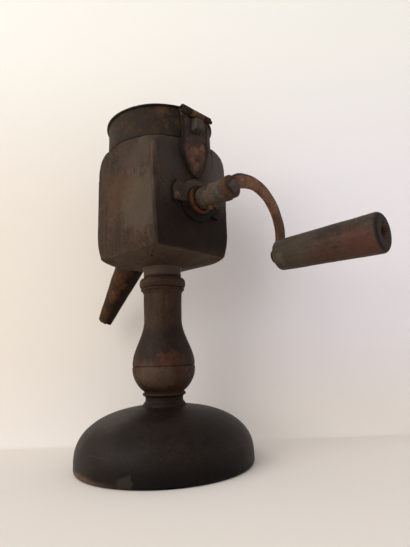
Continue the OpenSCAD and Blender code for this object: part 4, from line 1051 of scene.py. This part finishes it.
axle_finish = iron_material("axle_iron", dark=(0.045, 0.036, 0.030), rust=(0.075, 0.042, 0.026),
                            bright=(0.16, 0.08, 0.042), bare=(0.064, 0.043, 0.036),
                            amount=0.46, shine=0.62, bump=0.6 * MM)
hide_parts("axle")
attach(axle, "crank")
axle.data.materials.append(axle_finish)

# The collar is a sleeve between bush and arm, worn pale and smooth in the middle where hands and cloth rub
# it, with a shallow groove. A cross pin goes through collar and axle and stands out below.
collar_r = collar_high.z - axle_z
collar_bore = 4.4 * MM
collar_edge = 0.7 * MM
groove_x = collar_low.x + 4.5 * MM
groove_half = 0.5 * MM
groove_depth = 0.25 * MM
collar_profile = np.array([
    [collar_low.x, collar_bore], [collar_low.x, collar_r - collar_edge],
    [collar_low.x + collar_edge, collar_r], [groove_x - groove_half, collar_r],
    [groove_x, collar_r - groove_depth], [groove_x + groove_half, collar_r],
    [collar_high.x - 0.8 * MM, collar_r], [collar_high.x, collar_r - collar_edge],
    [collar_high.x, collar_bore]])
collar_rings = lathe_x(spaced(collar_profile, 0.7 * MM), 96, axle_y, axle_z)
collar_dents = -0.035 * (1 + wobble(collar_rings, 6 * MM, 82))
collar_rings[..., 1:] += (collar_rings[..., 1:] - axle_at) * collar_dents[..., None]
collar_wear = ramp(collar_rings[..., 0], groove_x - 1 * MM, groove_x + 5 * MM)
collar_wear *= 0.85 * ramp(collar_rings[..., 0], collar_high.x, collar_high.x - 4 * MM)
collar_wear *= np.clip(0.55 + 1.1 * wobble(collar_rings, 7 * MM, 83), 0, 1)
collar = skin("collar_sleeve", collar_rings, {"wear": collar_wear}, loop=True)
collar_finish = iron_material("collar_iron_rubbed", dark=(0.047, 0.038, 0.029), rust=(0.070, 0.046, 0.030),
                              bright=(0.15, 0.080, 0.043), bare=(0.070, 0.060, 0.049),
                              amount=0.52, shine=0.60, bump=0.9 * MM)
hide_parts("crank_collar")
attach(collar, "crank")
collar.data.materials.append(collar_finish)
finish_nodes(rust_finish, "collar_pin")

# The crank arm is a flat bar bent to a bow: an eye on the axle's square end, and a small eye for the spindle.
# It is forged by hand, so its width and faces are uneven, and it is the rustiest piece.
arm_low, arm_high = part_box("crank_arm")
crank_r = np.hypot(grip_y - axle_y, grip_z - axle_z)
arm_bow = 24 * MM
arm_root_w = 7.6 * MM
arm_end_w = 7.8 * MM
arm_root_fill = 1.1 * MM
bow_r = (crank_r ** 2 / 4 + arm_bow ** 2) / (2 * arm_bow)
bow_centre = np.array([crank_r / 2, arm_bow - bow_r])
arm_start = np.arctan2(-bow_centre[1], -bow_centre[0])
arm_stop = np.arctan2(-bow_centre[1], crank_r - bow_centre[0])
arm_t = np.linspace(0, 1, 90)[:, None]
arm_angle = arm_start + (arm_stop - arm_start) * arm_t
arm_width = arm_root_w + (arm_end_w - arm_root_w) * np.minimum(1, 1.35 * arm_t)
arm_u, arm_v = rounded_box(0.5, 0.5, 5, 40)
arm_fill = arm_root_fill * np.exp(-((arm_t - 0.08) / 0.13) ** 2)
arm_reach = bow_r + arm_width * arm_u + 2 * arm_fill * np.maximum(arm_u, 0)
arm_flat = bow_centre + np.stack([arm_reach * np.cos(arm_angle), arm_reach * np.sin(arm_angle)], -1)
arm_depth = np.broadcast_to((arm_low.x + arm_high.x) / 2 + (arm_high.x - arm_low.x) * arm_v, arm_reach.shape)
arm_rings = np.concatenate([arm_depth[..., None], arm_flat @ tilt.T + axle_at], -1)
arm_rings += 0.2 * MM * np.stack([wobble(arm_rings, 11 * MM, seed) for seed in (91, 92, 93)], -1)
# Painted shade along the bar's outer edge.
arm_masks = {"wear": 0.25 * (np.abs(arm_u) > 0.44), "grime": ramp(arm_u, 0.26, 0.44)}


def eye_profile(bore, outer, edge):
    """Outline of an eye's wall, x and radius, with its outer edges rubbed off."""
    return np.array([[arm_low.x, bore], [arm_low.x, outer - 0.4 * MM], [arm_low.x + edge, outer],
                     [arm_high.x - edge, outer], [arm_high.x, outer - 0.4 * MM], [arm_high.x, bore]])


eye_rings = lathe_x(eye_profile(3.4 * MM, 7 * MM, 0.5 * MM), 64, axle_y, axle_z)
eye_out = np.linalg.norm(eye_rings[..., 1:] - axle_at, axis=-1) > 5 * MM
eye_rings[..., 2] += 0.18 * np.maximum(axle_z - eye_rings[..., 2], 0) * eye_out
small_eye_rings = lathe_x(eye_profile(2.65 * MM, 3.6 * MM, 0.4 * MM), 48, grip_y, grip_z)
arm = joined("crank_arm_forged", [skin("arm_bar", arm_rings, arm_masks, crease=50),
                                  skin("arm_eye", eye_rings, {"grime": 0.85}, loop=True),
                                  skin("arm_small_eye", small_eye_rings, loop=True)])
arm_finish = iron_material("arm_iron_rusted", dark=(0.105, 0.062, 0.039), rust=(0.165, 0.085, 0.049),
                           bright=(0.28, 0.140, 0.080), bare=(0.15, 0.10, 0.065),
                           amount=0.60, shine=0.58, bump=0.5 * MM)
grip_y_mm, grip_z_mm = grip_y / MM, grip_z / MM
spots(arm_finish, ((arm_high.x / MM, grip_y_mm, grip_z_mm + 10), 24, 20, 0.7, (0.070, 0.032, 0.022)))
mix_mask(arm_finish, "grime", (0.018, 0.0105, 0.0080), 0.8)
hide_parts("crank_arm")
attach(arm, "crank")
arm.data.materials.append(arm_finish)
finish_nodes(rust_finish, "grip_spindle")
finish_nodes(sheet_finish, "grip_washer")

# The grip is a turned, slightly tapered wooden handle that spins on the spindle. Its outer end has a square
# recess for the spindle's washer; it is olive-brown from hands, reddish below and dark at the end.
grip_low, grip_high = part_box("grip")
grip_in_r = 9.4 * MM
grip_out_r = 11 * MM
grip_round = 0.9 * MM
grip_rim = 2.6 * MM
grip_bore = 2.66 * MM
recess_half = 4.5 * MM
recess_depth = 6 * MM
recess_turn = np.radians(-25)
grip_turn = np.linspace(0, np.pi / 2, 9)
grip_in_end = np.stack([grip_low.x + grip_round * (1 - np.cos(grip_turn)),
                        grip_in_r - grip_round * (1 - np.sin(grip_turn))], -1)
grip_out_end = np.stack([grip_high.x - grip_rim * (1 - np.sin(grip_turn)),
                         grip_out_r - grip_rim * (1 - np.cos(grip_turn))], -1)
grip_profile = np.vstack([[[grip_low.x, grip_bore]], grip_in_end, grip_out_end, [[grip_high.x, grip_bore]]])
grip_rings = lathe_x(spaced(grip_profile, 0.9 * MM), 128, 0, 0)
grip_x = grip_rings[..., 0]
grip_outside = ramp(np.linalg.norm(grip_rings[..., 1:], axis=-1), 4 * MM, 6 * MM)
grip_dip = 0.02 * (1 + wobble(grip_rings, 24 * MM, 101)) + 0.006 * (1 + wobble(grip_rings, 5 * MM, 102))
grip_rings[..., 1:] *= (1 - 0.6 * grip_outside * grip_dip)[..., None]
grip_ends = np.maximum(ramp(grip_x, grip_low.x + 16 * MM, grip_low.x),
                       0.3 * ramp(grip_x, grip_high.x - 3 * MM, grip_high.x - 1 * MM))
grip_wear = np.clip(grip_ends * (0.4 + 0.6 * wobble(grip_rings, 10 * MM, 103)), 0, 1) * grip_outside
grip_rings[..., 1:] += np.array([grip_y, grip_z])
# The outer end face is made darker.
grip_end_dark = ramp(grip_x, grip_high.x - 1.6 * MM, grip_high.x - 0.4 * MM)
grip = skin("grip_turned", grip_rings, {"wear": grip_wear, "grime": grip_end_dark}, loop=True)
recess_u, recess_v = rounded_box(recess_half, recess_half, 16, 48)
recess_y = grip_y + recess_u * np.cos(recess_turn) - recess_v * np.sin(recess_turn)
recess_z = grip_z + recess_u * np.sin(recess_turn) + recess_v * np.cos(recess_turn)
recess_ends = np.array([grip_high.x - recess_depth, grip_high.x + 2 * MM])[:, None]
recess_rings = np.stack(np.broadcast_arrays(recess_ends, recess_y, recess_z), -1)
cut_away(grip, [skin("cut_recess", recess_rings)])
grip_finish = wood_material("grip_wood_handled", deep=(0.030, 0.0215, 0.0150), warm=(0.060, 0.0360, 0.0240),
                            worn=(0.090, 0.069, 0.051), streaks=1.6, pores=0.6, gloss=0.50, bump=0.25 * MM,
                            turn=(0, np.pi / 2, 0))
spots(grip_finish,
      ((64, grip_y_mm - 7, grip_z_mm), 30, 40, 0.5, (0.058, 0.047, 0.034)),
      ((111, grip_y_mm - 6, grip_z_mm - 8), 15, 26, 0.55, (0.085, 0.031, 0.022)),
      ((90, grip_y_mm - 5, grip_z_mm - 9), 13, 22, 0.5, (0.075, 0.030, 0.018)))
mark_turning(grip_finish, (0.105, 0.088, 0.070), 0.3, 0.8)
mix_mask(grip_finish, "grime", (0.0095, 0.0070, 0.0053), 0.9)
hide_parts("grip")
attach(grip, "grip_body")
grip.data.materials.append(grip_finish)

# The spout is rolled from sheet iron to a tapered tube with a lapped seam, its mouth notched over the block's
# lower edge, its flange nailed to the face opposite the crank. Its open end is ragged; its underside and the
# side away from the lamp carry painted shade.
spout_l = 60.5 * MM
spout_top_r = 11.2 * MM
spout_end_r = 4.9 * MM
spout_sheet = 0.7 * MM
seam_step = 0.8 * spout_sheet
spout_angle = np.linspace(0, 2 * np.pi, 144, endpoint=False)
spout_side = np.array([0.0, 1.0, 0.0])
spout_back = np.cross(spout_side, spout_way)
seam_at = np.radians(-62)
shade_at = np.radians(-52)


def spout_point(distance, angle, inset):
    """A point of the rolled cone: distance down its middle line, angle round it, less inset. The radius grows
    by a sheet's step in a full turn and drops back at the seam, as a rolled sheet laps over itself."""
    turn = np.mod(angle - seam_at, 2 * np.pi) / (2 * np.pi)
    share = distance / spout_l
    radius = spout_top_r + (spout_end_r - spout_top_r) * share - inset + seam_step * (turn - 0.5)
    around = np.cos(angle)[..., None] * spout_side + np.sin(angle)[..., None] * spout_back
    return spout_mouth + distance[..., None] * spout_way + radius[..., None] * around


def spout_trim(inset):
    """For each angle, how far up the cone its wall first meets the block's face or drawn-in edge below."""
    climb = np.linspace(spout_l * 0.6, -30 * MM, 900)[:, None]
    wall = spout_point(*np.broadcast_arrays(climb, spout_angle), inset)
    face = np.interp(wall[..., 2], [edge_z, spout_mouth[2]], [block_low_half, block_half])
    first = np.argmax(wall[..., 0] > -face, axis=0)
    return climb[first, 0]


ragged = 0.5 * MM * np.sin(3 * spout_angle + 0.5) + 0.35 * MM * np.sin(7 * spout_angle + 2)
spout_rows = np.linspace(0, 1, 40)[:, None]
outer_top, inner_top = spout_trim(0.0), spout_trim(spout_sheet)
spout_end = spout_l - 0.3 * MM - np.abs(ragged)
outer_run = outer_top + (spout_end - outer_top) * spout_rows
inner_run = (inner_top + (spout_end - inner_top) * spout_rows)[::-1]
spread = np.broadcast_to(spout_angle, outer_run.shape)
spout_outer = spout_point(outer_run, spread, 0.0)
spout_inner = spout_point(inner_run, spread, spout_sheet)
dent = 0.22 * MM * wobble(spout_outer, 13 * MM, 111)
spout_outer[..., 1] += dent
spout_inner[..., 1] += dent[::-1]
spout_rings = np.concatenate([spout_outer, spout_inner])
# Painted shade: the tube is made darker on its underside and on the side away from the lamp.
spout_shade = np.cos(np.concatenate([spread, spread]) - shade_at) + 0.14 * wobble(spout_rings, 9 * MM, 112)
flange_half = 17 * MM
flange_low = spout_mouth[2] + 0.5 * MM
flange_high = spout_mouth[2] + 23 * MM
flange_t = 0.9 * MM
flange_power = 14
flange_lap = 0.5 * MM
mouth_half_z = spout_top_r / np.sin(spout_tilt)
flange_angle = np.linspace(0.0, np.pi, 90)[:, None]
flange_cos, flange_sin = np.cos(flange_angle), np.sin(flange_angle)
mouth_edge = 1 / np.hypot(flange_cos / (spout_top_r - flange_lap), flange_sin / (mouth_half_z - flange_lap))
flange_edge = 1 / ((np.abs(flange_cos) / flange_half) ** flange_power
                   + (np.abs(flange_sin) / (flange_high - flange_low)) ** flange_power) ** (1 / flange_power)
flange_u, flange_v = rounded_box(0.5, 0.5, 10, 36)
flange_r = (mouth_edge + flange_edge) / 2 + flange_u * (flange_edge - mouth_edge)
flange_x = np.broadcast_to(-block_half - flange_t * (0.5 - flange_v), flange_r.shape)
flange_rings = np.stack([flange_x, axle_y + flange_r * flange_cos, flange_low + flange_r * flange_sin], -1)
spout_tube = skin("spout_tube", spout_rings, {"grime": ramp(spout_shade, 0.2, 0.6)}, loop=True, crease=60)
spout = joined("spout_rolled", [spout_tube, skin("spout_flange", flange_rings)])
spout_finish = iron_material("spout_iron_rusted", dark=(0.0300, 0.0150, 0.0075), rust=(0.058, 0.0245, 0.0100),
                             bright=(0.115, 0.050, 0.018), bare=(0.06, 0.042, 0.026),
                             amount=0.54, shine=0.55, bump=0.4 * MM)
mix_mask(spout_finish, "grime", (0.0095, 0.0050, 0.0030), 0.75)
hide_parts("spout")
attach(spout, "frame")
spout.data.materials.append(spout_finish)
finish_nodes(rust_finish, "spout_nails")

# The studio: a pale floor that sweeps up into a pale screen close behind, warmer at one side, which lets
# light and sight through from its back, one large soft lamp from the upper left and an even sky. The camera
# stands where the photograph was taken from.
picture_h = 547.0
focal = 418.2 / picture_h
film_h = 36.0
camera_az, camera_far, camera_z = np.radians(50.2), 255.9 * MM, 59.55 * MM
look_az, look_up, look_roll = np.radians(44.26), np.radians(10.99), np.radians(-2.1)
camera_at = Vector((camera_far * np.sin(camera_az), -camera_far * np.cos(camera_az), camera_z))
ahead = Vector((-np.sin(look_az) * np.cos(look_up), np.cos(look_az) * np.cos(look_up), np.sin(look_up)))
level = Vector((np.cos(look_az), np.sin(look_az), 0))
upright = level.cross(ahead)
right = level * np.cos(look_roll) + upright * np.sin(look_roll)
above = upright * np.cos(look_roll) - level * np.sin(look_roll)
camera_data = bpy.data.cameras.new("camera")
camera_data.sensor_fit = "VERTICAL"
camera_data.sensor_height = film_h
camera_data.lens = film_h * focal
camera_data.clip_start = 0.01
camera = bpy.data.objects.new("camera", camera_data)
camera.matrix_world = Matrix((right, above, -ahead)).transposed().to_4x4()
camera.location = camera_at
bpy.context.scene.collection.objects.link(camera)
bpy.context.scene.camera = camera

behind = Vector((-np.sin(look_az), np.cos(look_az), 0))
screen_gap = 68 * MM
cove_back = 16 * MM
cove_rise = 60 * MM
floor_z = -0.2 * MM
floor_half = 4.0
screen_half = 0.9
screen_h = 1.0
floor_paper = (0.79, 0.735, 0.675, 1)
lamp_side_paper = (0.80, 0.745, 0.665, 1)
shade_side_paper = (0.83, 0.80, 0.83, 1)
lit_top_paper = (0.86, 0.85, 0.80, 1)


def sheet(name, left_row, right_row):
    """A strip of four-cornered faces between two rows of points, for the studio, with a dull paper finish."""
    count = len(left_row)
    faces = [(i, count + i, count + i + 1, i + 1) for i in range(count - 1)]
    mesh = bpy.data.meshes.new(name)
    mesh.from_pydata([tuple(point) for point in [*left_row, *right_row]], [], faces)
    mesh.shade_smooth()
    piece = bpy.data.objects.new(name, mesh)
    bpy.context.scene.collection.objects.link(piece)
    paper = bpy.data.materials.new("pale_" + name)
    paper.use_nodes = True
    shader = paper.node_tree.nodes["Principled BSDF"]
    shader.inputs["Base Color"].default_value = floor_paper
    shader.inputs["Roughness"].default_value = 0.9
    shader.inputs["Specular IOR Level"].default_value = 0.1
    mesh.materials.append(paper)
    return Nodes(paper.node_tree), shader


sheet("floor", [(-floor_half, -floor_half, floor_z), (-floor_half, floor_half, floor_z)],
      [(floor_half, -floor_half, floor_z), (floor_half, floor_half, floor_z)])
cove_turn = np.linspace(0, np.pi / 2, 24)
screen_back = np.append(screen_gap - cove_back * (1 - np.sin(cove_turn)), screen_gap)
screen_rise = np.append(floor_z / 2 + cove_rise * (1 - np.cos(cove_turn)), screen_h)
screen_rows = [behind * back + Vector((0, 0, rise)) for back, rise in zip(screen_back, screen_rise)]
screen, screen_shader = sheet("screen", [row - level * screen_half for row in screen_rows],
                              [row + level * screen_half for row in screen_rows])
screen_place = screen.coords()
screen_side = screen.vectors("DOT_PRODUCT", screen_place, level, "Value")
screen_up = screen.add("SeparateXYZ", {0: screen_place}).outputs["Z"]
# The screen's tone is painted light and shade: warm on the lamp's side, a cool lavender on the shaded side,
# whiter higher up, and the floor's tone at its foot.
screen_tone = screen.blend(screen.stretch(screen_side, -0.08, 0.14), lamp_side_paper, shade_side_paper)
screen_tone = screen.blend(screen.stretch(screen_up, 0.16, 0.36), screen_tone, lit_top_paper)
screen_tone = screen.blend(screen.stretch(screen_up, 0.0, 1.5 * cove_rise), floor_paper, screen_tone)
screen.link(screen_tone, screen_shader.inputs["Base Color"])
from_behind = screen.add("NewGeometry").outputs["Backfacing"]
clear = screen.add("BsdfTransparent").outputs[0]
one_way = screen.add("MixShader", {0: from_behind, 1: screen_shader.outputs[0], 2: clear})
screen.link(one_way.outputs[0], screen.tree.nodes["Material Output"].inputs["Surface"])

lamp_side = 1.9
lamp_far = 2.0
lamp_aim = Vector((0, 0, 0.12))
lamp_way = (-0.66 * level - 0.60 * behind + Vector((0, 0, 0.44))).normalized()
lamp_data = bpy.data.lights.new("window", "AREA")
lamp_data.shape = "RECTANGLE"
lamp_data.size = lamp_side
lamp_data.size_y = lamp_side
lamp_data.energy = 30.5
lamp_data.color = (1.0, 0.975, 0.94)
lamp = bpy.data.objects.new("window", lamp_data)
lamp.location = lamp_aim + lamp_far * lamp_way
lamp.rotation_euler = lamp_way.to_track_quat("Z", "Y").to_euler()
bpy.context.scene.collection.objects.link(lamp)
sky = bpy.data.worlds.new("sky")
sky.use_nodes = True
sky.node_tree.nodes["Background"].inputs["Color"].default_value = (0.97, 0.965, 1.0, 1)
sky.node_tree.nodes["Background"].inputs["Strength"].default_value = 0.67
bpy.context.scene.world = sky
bpy.context.scene.view_settings.view_transform = "Standard"
